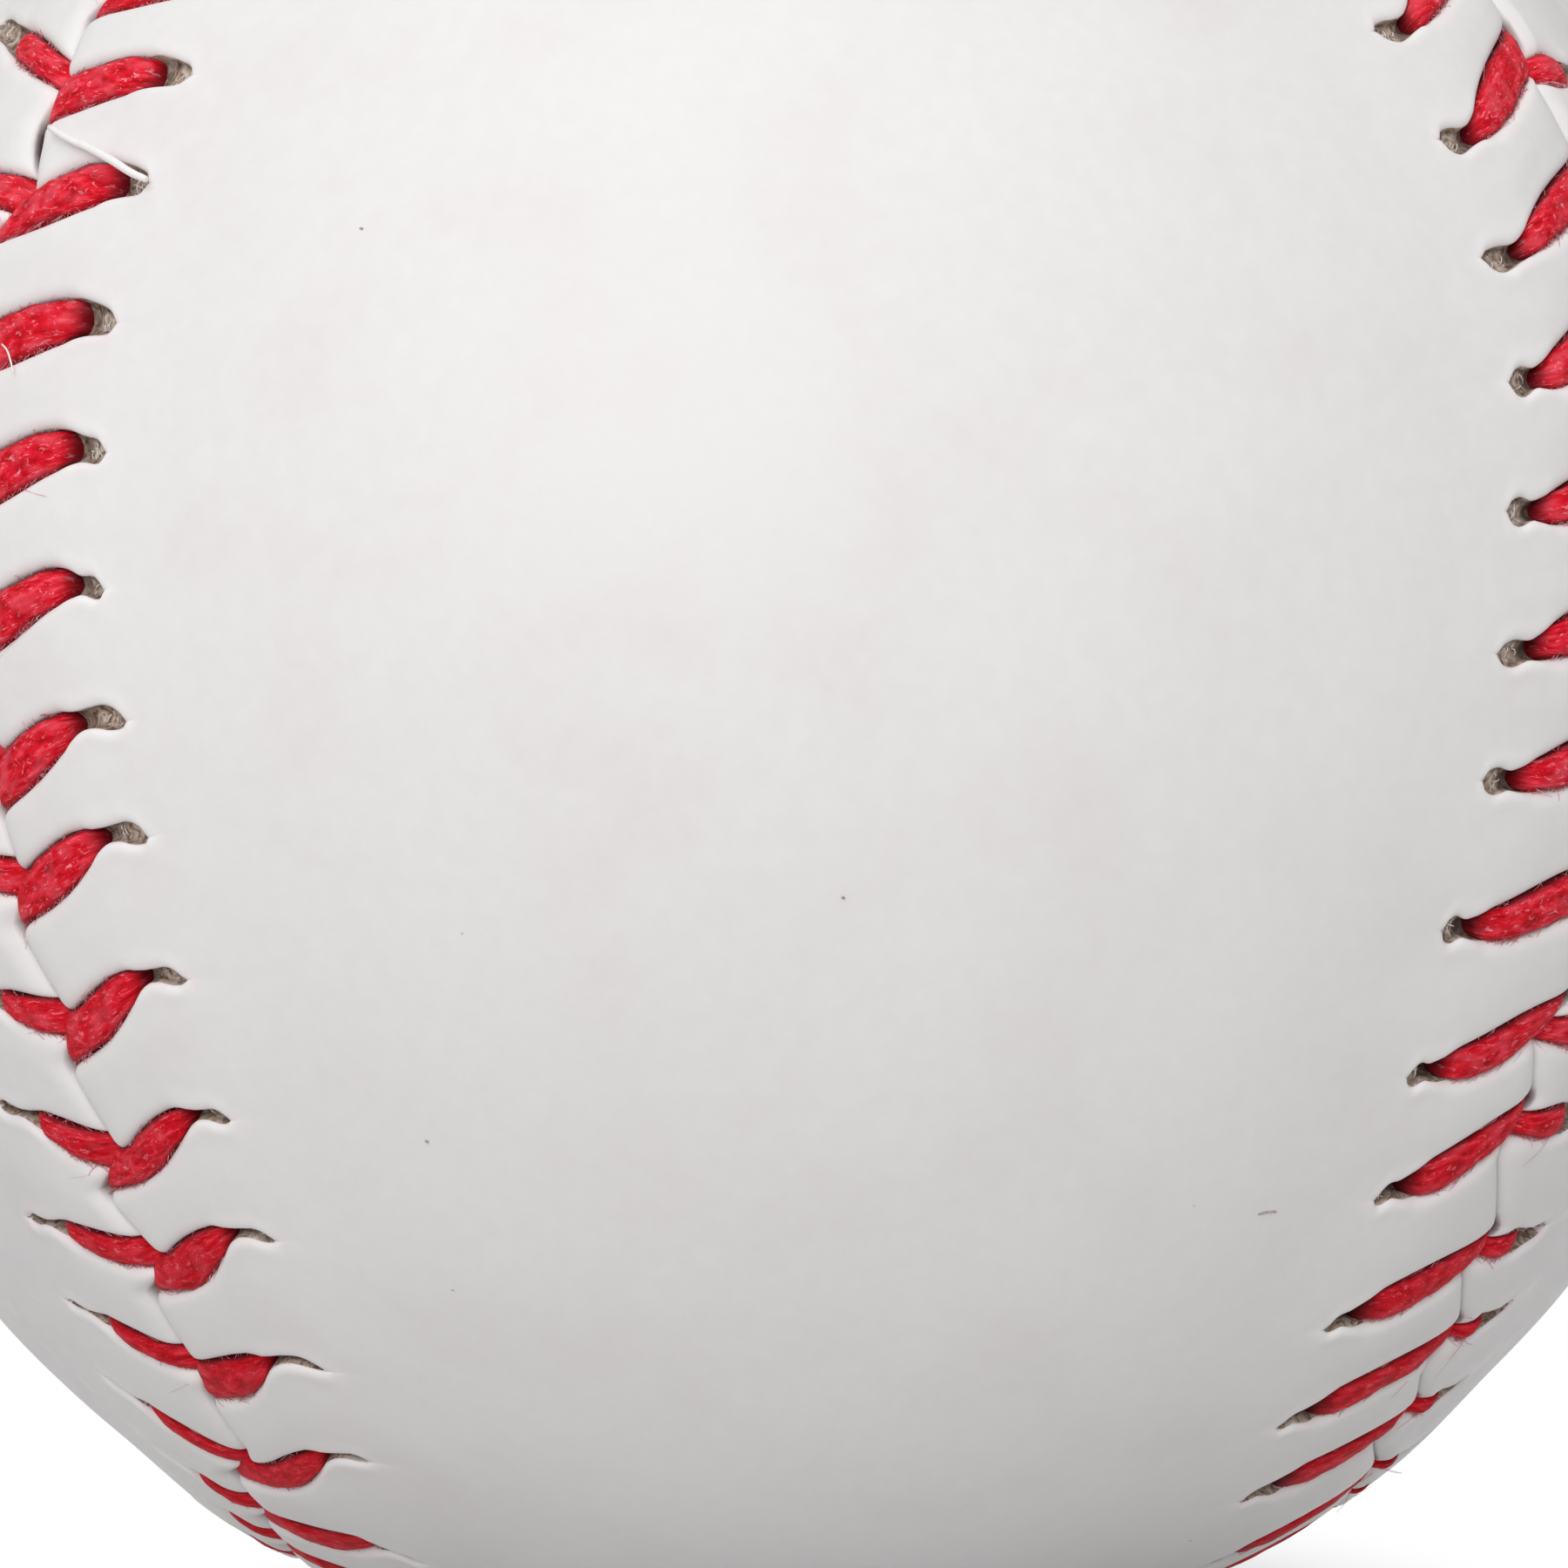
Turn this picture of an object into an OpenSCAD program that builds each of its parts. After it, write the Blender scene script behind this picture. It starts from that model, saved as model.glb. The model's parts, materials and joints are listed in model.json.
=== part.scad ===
// Baseball: a cork and rubber pill, four windings, a coat of cement, two stitched leather panels.
// The origin is the ball's centre. The wide lobes of panel A face -Y and +Y, those of panel B +X and -X.

/* [Ball] */
// Diameter of the leather skin away from the seam
ball_d = 74; // [66:0.5:82]
// Angle that the waist of a panel spans, seen from the ball's centre
waist_angle = 54.5; // [48:0.5:60]
// Roundness of the lobes, as the share of the threefold wave in the seam's curve
lobe_share = 0.446; // [0.4:0.002:0.47]

/* [Cover] */
// Thickness of the cover leather
cover_t = 1.3; // [1.1:0.05:1.6]
// Gap between the two panels along the seam
seam_gap = 0.2; // [0.1:0.02:0.4]
// Height of the pads that the leather forms between two stitches
pad_rise = 0.4; // [0.2:0.02:0.6]
// Distance from the seam to the crest of a pad
pad_crest = 1.6; // [1.2:0.1:2]
// Depth to which a panel's edge turns down into the seam
edge_drop = 0.35; // [0.1:0.05:0.5]
// Distance from the seam at which the skin is round again
pad_reach = 8.6; // [7.4:0.1:10.5]

/* [Stitches] */
// Number of stitches along the seam, the same for both panels
stitch_count = 88; // [72:4:108]
// Distance from the seam to the near end of a needle slot
slot_near = 4.3; // [3.6:0.1:5]
// Length of a needle slot, across the seam
slot_length = 1.4; // [1:0.1:2]
// Width of a thread leg where it lies on the leather
thread_w = 1.3; // [1:0.05:1.6]
// Thickness of a thread leg where it lies on the leather
thread_t = 0.75; // [0.6:0.05:0.9]
// Width and depth of the thread where it passes a needle slot
neck_w = 0.85; // [0.6:0.05:1]
// Clearance round the thread
thread_gap = 0.05; // [0.02:0.01:0.1]

/* [Pill] */
// Diameter of the cork core
cork_d = 20.6; // [17:0.1:24]
// Wall of the black rubber shell
black_wall = 3.4; // [2.6:0.1:4.2]
// Wall of the red rubber shell
red_wall = 3.6; // [2.8:0.1:4.4]
// Thickness of the washers between the half shells
washer_t = 0.8; // [0.5:0.1:1.2]

/* [Windings] */
// Wall of the second winding, white three-ply wool
white_wall = 1.8; // [1.4:0.1:2.2]
// Wall of the third winding, grey three-ply wool
grey_wall = 2.1; // [1.6:0.1:2.6]
// Wall of the finishing winding of fine cotton yarn
finish_wall = 0.4; // [0.3:0.02:0.5]
// Thickness of the rubber cement under the cover
cement_t = 0.12; // [0.08:0.01:0.16]

/* [Hidden] */
$fn = 96;

// Clearance between one layer and the next
layer_gap = 0.05;

ball_r = ball_d / 2;
slot_far = slot_near + slot_length;
edge_d = seam_gap / 2;

// Seam curve: a unit vector for each angle t, with the waist of panel A at the bottom.
curve_height = (1 - lobe_share) / tan(waist_angle / 2);
function unit(v) = v / norm(v);
function seam_dir(t) = unit([
    cos(t) - lobe_share * cos(3 * t),
    sin(t) + lobe_share * sin(3 * t),
    -curve_height * cos(2 * t)
]);

// The curve is measured in short steps, so that the stitches can be set out at an equal pitch.
// It starts at the closed end of the lobe that faces -Y.
measure_step = 0.75;
start_angle = -90;
measure_angles = [for (i = [0 : round(360 / measure_step)]) start_angle + i * measure_step];
function running_length(i = 1, sum = 0, out = [0]) =
    i >= len(measure_angles) ? out :
    let (next = sum + norm(seam_dir(measure_angles[i]) - seam_dir(measure_angles[i - 1])))
    running_length(i + 1, next, concat(out, [next]));
lengths = running_length();
length_table = [for (i = [0 : len(lengths) - 1]) [lengths[i], measure_angles[i]]];
seam_turn = lengths[len(lengths) - 1];

// Place on the curve, counted in stitches from the start, as the curve's angle
function wrapped(s) = s - stitch_count * floor(s / stitch_count);
function angle_at(s) = lookup(wrapped(s) * seam_turn / stitch_count, length_table);

// Point at s stitches along the seam, d from it into the panel on that side (1 is A, -1 is B), and
// h above the skin
tangent_step = 0.05;
function skin(s, d, h, side) =
    let (t = angle_at(s))
    let (p = seam_dir(t))
    let (along = unit(seam_dir(t + tangent_step) - seam_dir(t - tangent_step)))
    let (turn = d / ball_r * 180 / PI)
    (cos(turn) * p - side * sin(turn) * cross(p, along)) * (ball_r + h);

// The tips of the stitches are shifted along the seam by these shares of a stitch: a steady one, and
// one that swings from one side of the ball to the other.
shift_shares = [-0.13, -0.32];
function tip_s(p) = p + shift_shares[0] + shift_shares[1] * cos(angle_at(p));

// A thread leg runs from its foot in the seam to its needle slot. Both lie ahead of the stitch's tip by
// these shares of a stitch, on panel A and on panel B, and the slots swing a little too.
foot_shares = [0.14, 0.26];
lead_shares = [0.56, 0.53];
swing_share = 0.08;
function foot(side) = side > 0 ? foot_shares[0] : foot_shares[1];
function lead(p, side) =
    (side > 0 ? lead_shares[0] : lead_shares[1]) + side * swing_share * cos(angle_at(p));
function leg_s(p, d, side) =
    tip_s(p) + foot(side) + (lead(p, side) - foot(side)) * min(d / slot_near, 1);

// Rows of the panel's strip beside the seam: the edge, the crest of the pads, the slot's two ends
row_d = [edge_d, pad_crest, slot_near, slot_far];
thread_floor = pad_rise - thread_t - thread_gap;
// Share of a pad's height that is left at the far end of the slots
slot_end_share = 0.25;
pad_heights = [-edge_drop, pad_rise, pad_rise, pad_rise * slot_end_share];
groove_heights = [thread_floor - edge_drop / 2, thread_floor, thread_floor, thread_floor / 2];
groove_half_w = thread_w / 2 + thread_gap;
slot_half_w = neck_w / 2 + thread_gap;
groove_half_widths = [groove_half_w, groove_half_w, slot_half_w, slot_half_w];
stitch_pitch = seam_turn * ball_r / stitch_count;

// Inside of the cover. Its corners stand off so that its flat facets clear the round layer below.
fill_steps = 10;
reach_angle = pad_reach / ball_r * 180 / PI;
fill_step_angle = (90 - 2 * reach_angle) / fill_steps;
pitch_angle = stitch_pitch / ball_r * 180 / PI;
facet_angle = norm([fill_step_angle, pitch_angle]);
cover_inner_r = ball_r - cover_t;
cement_r = cover_inner_r * cos(facet_angle / 2) - layer_gap;
finish_r = cement_r - cement_t - layer_gap;
grey_r = finish_r - finish_wall - layer_gap;
white_r = grey_r - grey_wall - layer_gap;
wool_r = white_r - white_wall - layer_gap;

cork_r = cork_d / 2;
black_in_r = cork_r + layer_gap;
black_r = black_in_r + black_wall;
red_in_r = black_r + layer_gap;
red_r = red_in_r + red_wall;
wool_in_r = red_r + layer_gap;

// Columns of the strip: two beside each thread and one on the pad between two threads
columns = 3;
function column_s(c, row, side) =
    let (p = floor(c / columns))
    let (k = c % columns)
    let (local_pitch = norm(skin(p + 0.5, row_d[row], 0, side) - skin(p - 0.5, row_d[row], 0, side)))
    let (slant = row_d[row] > slot_near ? 0 : atan((lead(p, side) - foot(side)) * local_pitch / slot_near))
    let (half = groove_half_widths[row] / local_pitch / cos(slant))
    leg_s(p, row_d[row], side) + (k == 0 ? -half : k == 1 ? half : 0.5);
function outer_row(row, side) = [
    for (c = [0 : columns * stitch_count - 1])
    let (on_pad = c % columns == columns - 1)
    skin(column_s(c, row, side), row_d[row], on_pad ? pad_heights[row] : groove_heights[row], side)
];
function inner_row(row, side) = [
    for (c = [0 : columns * stitch_count - 1])
    skin(column_s(c, row, side), row_d[row], -cover_t, side)
];

// The middle of a panel: one point a stitch round it, and lines of points from each to its mirror twin
half_count = stitch_count / 2;
function bound_point(i, h, side) = skin(i + 0.5, pad_reach, h, side);
function bound_row(h, side) = [for (i = [0 : stitch_count - 1]) bound_point(i, h, side)];

// Point at share f of the arc between p and its twin across the plane that halves the panel
function across_a(p, f) =
    let (reach = asin(p[0] / norm(p)))
    let (flat = unit([0, p[1], p[2]]))
    norm(p) * [sin(f * reach), flat[1] * cos(f * reach), flat[2] * cos(f * reach)];
function across_b(p, f) =
    let (reach = asin(p[1] / norm(p)))
    let (flat = unit([p[0], 0, p[2]]))
    norm(p) * [flat[0] * cos(f * reach), sin(f * reach), flat[2] * cos(f * reach)];
function fill_points(h, side) = [
    for (i = [1 : half_count - 2])
    for (j = [1 : fill_steps - 1])
    let (p = bound_point(fold_at(i, side), h, side))
    let (f = 1 - 2 * j / fill_steps)
    side > 0 ? across_a(p, f) : across_b(p, f)
];

// Panel A is halved at the curve's start, panel B a quarter of the curve later.
function fold_start(side) = side > 0 ? 0 : stitch_count / 4;
function fold_at(i, side) = (fold_start(side) + i) % stitch_count;
function fold_twin(i, side) = (fold_start(side) + stitch_count - 1 - i) % stitch_count;

row_size = columns * stitch_count;
fill_size = (half_count - 2) * (fill_steps - 1);
outer_bound = 4 * row_size;
outer_fill = outer_bound + stitch_count;
inner_start = outer_fill + fill_size;
inner_bound = inner_start + 3 * row_size;
inner_fill = inner_bound + stitch_count;

function quad(a, b, c, d) = [[a, b, c], [a, c, d]];
function joined(lists) = [for (list = lists) for (item = list) item];
function turned(faces) = [for (f = faces) [f[2], f[1], f[0]]];
function next_column(c) = (c + 1) % row_size;

// Faces between two rows of a strip. Where the slots are cut through, the first cell of a stitch is open.
function strip(low, high, open) = joined([
    for (c = [0 : row_size - 1])
    if (!open || c % columns != 0)
    quad(low + c, low + next_column(c), high + next_column(c), high + c)
]);

// Faces from the slots' far row to the row with one point a stitch
function narrowing(row, bound) = joined([
    for (p = [0 : stitch_count - 1])
    let (c = row + columns * p)
    let (last = row + next_column(columns * p + 2))
    let (here = bound + p)
    let (next = bound + (p + 1) % stitch_count)
    [[c, c + 1, here], [c + 1, c + 2, here], [c + 2, next, here], [c + 2, last, next]]
]);

// Faces of the middle of a panel, line by line, with a fan at each closed end
function fill_index(i, j, bound, fill, side) =
    j == 0 ? bound + fold_at(i, side) :
    j == fill_steps ? bound + fold_twin(i, side) :
    fill + (i - 1) * (fill_steps - 1) + j - 1;
function end_fan(line, tip, twin, bound, fill, side) = concat(
    [for (j = [0 : fill_steps - 1])
        [tip, fill_index(line, j, bound, fill, side), fill_index(line, j + 1, bound, fill, side)]],
    [[tip, fill_index(line, fill_steps, bound, fill, side), twin]]
);
function middle(bound, fill, side) = concat(
    end_fan(1, bound + fold_at(0, side), bound + fold_twin(0, side), bound, fill, side),
    joined([
        for (i = [1 : half_count - 3])
        for (j = [0 : fill_steps - 1])
        quad(
            fill_index(i, j, bound, fill, side), fill_index(i + 1, j, bound, fill, side),
            fill_index(i + 1, j + 1, bound, fill, side), fill_index(i, j + 1, bound, fill, side)
        )
    ]),
    turned(end_fan(
        half_count - 2, bound + fold_at(half_count - 1, side), bound + fold_twin(half_count - 1, side),
        bound, fill, side
    ))
);

// Walls of the slots, from the outer skin to the inner one
function slot_walls(near, far, near_in, far_in) = joined([
    for (p = [0 : stitch_count - 1])
    let (c = columns * p)
    concat(
        quad(near + c, near + c + 1, near_in + c + 1, near_in + c),
        quad(near + c + 1, far + c + 1, far_in + c + 1, near_in + c + 1),
        quad(far + c + 1, far + c, far_in + c, far_in + c + 1),
        quad(far + c, near + c, near_in + c, far_in + c)
    )
]);

module cover_panel(side) {
    points = concat(
        outer_row(0, side), outer_row(1, side), outer_row(2, side), outer_row(3, side),
        bound_row(0, side), fill_points(0, side),
        inner_row(0, side), inner_row(2, side), inner_row(3, side),
        bound_row(-cover_t, side), fill_points(-cover_t, side)
    );
    outside = concat(
        strip(0, row_size, false),
        strip(row_size, 2 * row_size, false),
        strip(2 * row_size, 3 * row_size, true),
        narrowing(3 * row_size, outer_bound),
        middle(outer_bound, outer_fill, side)
    );
    inside = concat(
        strip(inner_start, inner_start + row_size, false),
        strip(inner_start + row_size, inner_start + 2 * row_size, true),
        narrowing(inner_start + 2 * row_size, inner_bound),
        middle(inner_bound, inner_fill, side)
    );
    walls = concat(
        strip(inner_start, 0, false),
        slot_walls(2 * row_size, 3 * row_size, inner_start + row_size, inner_start + 2 * row_size)
    );
    faces = concat(outside, turned(inside), walls);
    polyhedron(points, side > 0 ? faces : turned(faces));
}

// A thread leg: up through its slot, over the lip and down to the seam. Each station has its distance
// from the seam, the height of its middle, its half width and its half depth.
leg_sides = 6;
leg_tip_share = 0.8;
// Share of the thread's thickness by which it leans over the slot's lip
lip_share = 0.25;
slot_mid = slot_near + slot_length / 2;
thread_mid = thread_floor + thread_gap + thread_t / 2;
leg_stations = [
    [slot_mid, thread_gap - cover_t, neck_w / 2, neck_w / 2],
    [slot_mid, thread_floor, neck_w / 2, neck_w / 2],
    [slot_near - thread_t * lip_share, thread_mid + thread_gap, neck_w / 2 - thread_gap, thread_t / 2],
    [slot_near / 2, thread_mid, thread_w / 2, thread_t / 2],
    [edge_d + thread_t / 2, thread_mid - thread_gap, thread_w / 2 * leg_tip_share, thread_t / 2 * leg_tip_share]
];

function leg_center(p, k, side) =
    let (station = leg_stations[k])
    skin(leg_s(p, station[0], side), station[0], station[1], side);
function leg_ring(p, k, side) =
    let (last = len(leg_stations) - 1)
    let (center = leg_center(p, k, side))
    let (run = leg_center(p, last, side) - leg_center(p, 0, side))
    let (wide = unit(cross(unit(center), run)))
    let (path = k <= 1 ? unit(center) : unit(leg_center(p, min(k + 1, last), side) - leg_center(p, k - 1, side)))
    let (deep = unit(cross(path, wide)))
    [for (a = [0 : leg_sides - 1])
        center + wide * leg_stations[k][2] * cos(360 * a / leg_sides)
            + deep * leg_stations[k][3] * sin(360 * a / leg_sides)];

function leg_faces(base) =
    let (last = base + (len(leg_stations) - 1) * leg_sides)
    concat(
        joined([
            for (k = [0 : len(leg_stations) - 2])
            for (a = [0 : leg_sides - 1])
            let (low = base + k * leg_sides)
            let (b = (a + 1) % leg_sides)
            quad(low + a, low + b, low + leg_sides + b, low + leg_sides + a)
        ]),
        [for (a = [1 : leg_sides - 2]) [base, base + a + 1, base + a]],
        [for (a = [1 : leg_sides - 2]) [last, last + a, last + a + 1]]
    );

module stitch_row(side) {
    points = joined([
        for (p = [0 : stitch_count - 1])
        for (k = [0 : len(leg_stations) - 1])
        leg_ring(p, k, side)
    ]);
    faces = joined([for (p = [0 : stitch_count - 1]) leg_faces(p * len(leg_stations) * leg_sides)]);
    polyhedron(points, turned(faces));
}

// A shell cut at the ball's equator, with room for the washer between its halves
module shell_ring(outer, inner) {
    difference() {
        circle(outer);
        circle(inner);
    }
}

module half_shell(outer, inner) {
    rotate_extrude()
    intersection() {
        shell_ring(outer, inner);
        translate([0, washer_t / 2])
        square([outer, outer]);
    }
}

module washer(outer, inner) {
    rotate_extrude()
    intersection() {
        shell_ring(outer, inner);
        translate([0, layer_gap - washer_t / 2])
        square([outer, washer_t - 2 * layer_gap]);
    }
}

module closed_shell(outer, inner) {
    difference() {
        sphere(outer);
        sphere(inner);
    }
}

module cork_core() { color("burlywood") sphere(cork_r); }
module black_shell_upper() { color("dimgray") half_shell(black_r, black_in_r); }
module black_shell_lower() { color("dimgray") mirror([0, 0, 1]) half_shell(black_r, black_in_r); }
module black_shell_gasket() { color("indianred") washer(black_r, black_in_r); }
module red_shell_upper() { color("firebrick") half_shell(red_r, red_in_r); }
module red_shell_lower() { color("firebrick") mirror([0, 0, 1]) half_shell(red_r, red_in_r); }
module red_shell_gasket() { color("indianred") washer(red_r, red_in_r); }
module grey_four_ply_winding() { color("gray") closed_shell(wool_r, wool_in_r); }
module white_three_ply_winding() { color("gainsboro") closed_shell(white_r, wool_r + layer_gap); }
module grey_three_ply_winding() { color("darkgray") closed_shell(grey_r, white_r + layer_gap); }
module finishing_winding() { color("ivory") closed_shell(finish_r, grey_r + layer_gap); }
module cement_coat() { color("lightyellow") closed_shell(cement_r, finish_r + layer_gap); }
module cover_panel_a() { color("whitesmoke") cover_panel(1); }
module cover_panel_b() { color("whitesmoke") cover_panel(-1); }
module stitches_a() { color("crimson") stitch_row(1); }
module stitches_b() { color("crimson") stitch_row(-1); }

cork_core();
black_shell_upper();
black_shell_lower();
black_shell_gasket();
red_shell_upper();
red_shell_lower();
red_shell_gasket();
grey_four_ply_winding();
white_three_ply_winding();
grey_three_ply_winding();
finishing_winding();
cement_coat();
cover_panel_a();
cover_panel_b();
stitches_a();
stitches_b();
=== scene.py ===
import json
import math

import bpy
import numpy as np
from mathutils import Matrix, Vector


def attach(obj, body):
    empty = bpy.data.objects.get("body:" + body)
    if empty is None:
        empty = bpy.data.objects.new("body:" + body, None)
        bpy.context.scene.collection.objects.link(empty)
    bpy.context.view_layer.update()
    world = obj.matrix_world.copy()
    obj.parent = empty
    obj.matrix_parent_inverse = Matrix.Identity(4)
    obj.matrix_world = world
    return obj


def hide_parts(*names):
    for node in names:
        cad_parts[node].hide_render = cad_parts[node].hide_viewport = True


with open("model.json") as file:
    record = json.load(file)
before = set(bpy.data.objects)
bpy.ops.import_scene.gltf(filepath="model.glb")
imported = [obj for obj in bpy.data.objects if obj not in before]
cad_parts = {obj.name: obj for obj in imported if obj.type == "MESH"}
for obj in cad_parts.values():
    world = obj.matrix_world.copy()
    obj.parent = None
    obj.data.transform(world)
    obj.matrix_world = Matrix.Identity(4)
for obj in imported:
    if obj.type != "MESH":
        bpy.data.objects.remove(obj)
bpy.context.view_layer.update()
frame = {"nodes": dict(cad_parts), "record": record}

# Units: every length below is in metres
MM = 0.001
BODY = "root"
SEED = 11

# The ball and its seam, with the same driving sizes as the CAD model
BALL_R = 37 * MM
WAIST_ANGLE = math.radians(54.5)
LOBE_SHARE = 0.446
CURVE_HEIGHT = (1 - LOBE_SHARE) / math.tan(WAIST_ANGLE / 2)
STITCHES = 88
START_ANGLE = -math.pi / 2
MEASURE_STEPS = 8640

# The cover: its pads beside the seam, the grooves under the thread, and the needle slots' pits
COVER_T = 1.3 * MM
PAD_RISE = 0.43 * MM
PAD_CREST = 1.3 * MM
PAD_FADE = 2.4 * MM
PAD_REACH = 8.6 * MM
EDGE_DROP = 0.1 * MM
GROOVE_DEPTH = 0.42 * MM
GROOVE_DIVE = 0.85 * MM
GROOVE_DIVE_REACH = 0.7 * MM
PIT_LEAD = 1.2 * MM
PIT_END_DEPTH = 0.24 * MM

# Where the panels meet. A swing differs from one side of the ball to the other
SEAM_REACH = 1.7 * MM
SEAM_OPENING = 0.12 * MM
TIP_OPENING = 0.5
TIP_OPENING_SWING = 0.25
SEAM_SAW = 0.5 * MM
SEAM_SAW_SWING = 0.5
SEAM_SWAY_LIMIT = 1.5 * MM
TIP_STAND_OFF = 0.32 * MM

# The stitches of panel A (1) and panel B (-1). Shares are of a stitch, as in the CAD model
SHIFT_SHARES = (-0.13, -0.32)
LEAD_SHARES = {1: 0.56, -1: 0.53}
SWING_SHARE = 0.08
SLOT_NEAR = {1: 4.6 * MM, -1: 3.3 * MM}
SLOT_LENGTH = 1.0 * MM
SHORTEST_SLOT = 0.75 * MM
SLOT_HALF_W = 0.41 * MM
HAIR_HALF_W = 0.02 * MM
THREAD_HALF_T = 0.37 * MM
HOOK_POWER = 1.8

# Stitches beside a fitted one that ease back to the even spacing, and the reach of the slit in stitches
SHIFT_FADE = 3
SLIT_REACH = 0.22

# Places of the photograph: the tips of the V stitches, two of them just outside the frame, the
# crotches where their legs part, the far ends of the needle slots, the ends of the thread in panel
# A's slots, and a slit in the seam
TIPS_PX = (
    (60, 140), (-10, 283), (9, 924), (29, 1059), (86, 1218), (126, 1365), (182, 1481), (248, 1601),
    (276, 1691), (1650, -81), (1743, 34), (1796, 1139), (1749, 1260), (1709, 1411), (1667, 1518),
    (1617, 1609), (1571, 1679),
)
CROTCHES_PX = (
    (79, 83), (43, 214), (85, 1172), (136, 1314), (191, 1443), (225, 1560), (282, 1655),
    (1762, 103), (1760, 1187), (1717, 1326), (1678, 1455), (1630, 1571), (1576, 1651),
)
SLOTS_A_PX = (
    (222, 88), (173, 212), (133, 372), (121, 520), (121, 678), (147, 828), (173, 960), (215, 1124),
    (266, 1284), (317, 1422), (376, 1571), (426, 1674),
    (1577, 38), (1650, 163), (1700, 297), (1731, 441), (1729, 587), (1718, 751), (1700, 896),
    (1655, 1068), (1615, 1236), (1576, 1376), (1518, 1523), (1464, 1635), (1420, 1720),
)
SLOTS_B_PX = ((0, 30), (2, 1266), (36, 1396), (80, 1492), (122, 1576))
THREAD_ENDS_PX = (
    (192, 80), (149, 205), (106, 360), (95, 512), (95, 670), (95, 823), (123, 953), (172, 1118),
    (228, 1274), (274, 1412), (319, 1559), (381, 1657),
    (1613, 34), (1683, 163), (1737, 293), (1676, 1065), (1633, 1228), (1591, 1370),
    (1545, 1506), (1496, 1616), (1465, 1694),
)
SLIT_PX = (54, 165)

# The camera, fitted to points of the 1800 px photograph
FRAME_PX = 1800
FOCAL_PX = 6644
BALL_PX = (883.7, 724.3)
CAMERA_DISTANCE = 5.694 * BALL_R
CAMERA_TILT = 0.0234
CAMERA_TURN = 0.0492
CAMERA_ROLL = 0.0300
SENSOR = 36


# Camera

def camera_axes():
    """Rows: the camera's right, up and back axes in the row frame."""
    turn = (Matrix.Rotation(CAMERA_ROLL, 3, "Z") @ Matrix.Rotation(CAMERA_TURN, 3, "Y")
            @ Matrix.Rotation(CAMERA_TILT, 3, "X"))
    facing = Matrix(((1, 0, 0), (0, 0, 1), (0, -1, 0)))
    return turn @ facing


def link_object(name, data):
    item = bpy.data.objects.new(name, data)
    bpy.context.scene.collection.objects.link(item)
    return item


def make_camera():
    data = bpy.data.cameras.new("camera")
    camera = link_object("camera", data)
    axes = camera_axes()
    camera.matrix_world = Matrix.Translation(axes[2] * CAMERA_DISTANCE) @ axes.transposed().to_4x4()
    data.sensor_width = SENSOR
    data.lens = FOCAL_PX / FRAME_PX * SENSOR
    data.shift_x = (FRAME_PX / 2 - BALL_PX[0]) / FRAME_PX
    data.shift_y = (BALL_PX[1] - FRAME_PX / 2) / FRAME_PX
    data.clip_start = 10 * MM
    data.clip_end = 20
    bpy.context.scene.camera = camera


def on_ball(pixel, height):
    """The point of the photograph's pixel on a sphere that stands height above the skin."""
    axes = camera_axes()
    eye = axes[2] * CAMERA_DISTANCE
    look = Vector(((pixel[0] - BALL_PX[0]) / FOCAL_PX, (BALL_PX[1] - pixel[1]) / FOCAL_PX, -1))
    ray = (axes.transposed() @ look).normalized()
    along = -eye.dot(ray)
    miss = (eye + ray * along).length_squared
    reach = (BALL_R + height) ** 2 - miss
    return np.array(eye + ray * (along - math.sqrt(max(reach, 0))))


# Seam

def unit(v):
    return v / np.linalg.norm(v, axis=-1, keepdims=True)


def smooth(x):
    x = np.clip(x, 0, 1)
    return x * x * (3 - 2 * x)


def seam_dir(angle):
    return unit(np.stack([
        np.cos(angle) - LOBE_SHARE * np.cos(3 * angle),
        np.sin(angle) + LOBE_SHARE * np.sin(3 * angle),
        -CURVE_HEIGHT * np.cos(2 * angle),
    ], axis=-1))


ANGLES = np.linspace(START_ANGLE, START_ANGLE + 2 * math.pi, MEASURE_STEPS + 1)
LENGTHS = np.concatenate([[0], np.cumsum(np.linalg.norm(np.diff(seam_dir(ANGLES), axis=0), axis=1))])
PITCH = LENGTHS[-1] * BALL_R / STITCHES


def angle_at(s):
    return np.interp(np.mod(s, STITCHES) * LENGTHS[-1] / STITCHES, LENGTHS, ANGLES)


def skin(s, d, h, side):
    """Point at s stitches along the seam, d beside it on that side (1 is A, -1 is B), h above the skin."""
    s, d, h = np.broadcast_arrays(s, d, h)
    angle = angle_at(s)
    p = seam_dir(angle)
    step = 0.001
    along = unit(seam_dir(angle + step) - seam_dir(angle - step))
    turn = (d / BALL_R)[..., None]
    return (np.cos(turn) * p - side * np.sin(turn) * np.cross(p, along)) * (BALL_R + h)[..., None]


def seam_place(pixel):
    """Stitches along the seam and metres into panel A, for a pixel of the photograph."""
    point = unit(on_ball(pixel, 0))
    curve = seam_dir(ANGLES[:-1])
    k = int(np.argmax(curve @ point))
    along = curve[(k + 1) % len(curve)] - curve[k]
    d = -np.dot(point, np.cross(curve[k], unit(along))) * BALL_R
    return LENGTHS[k] / LENGTHS[-1] * STITCHES, d


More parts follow.
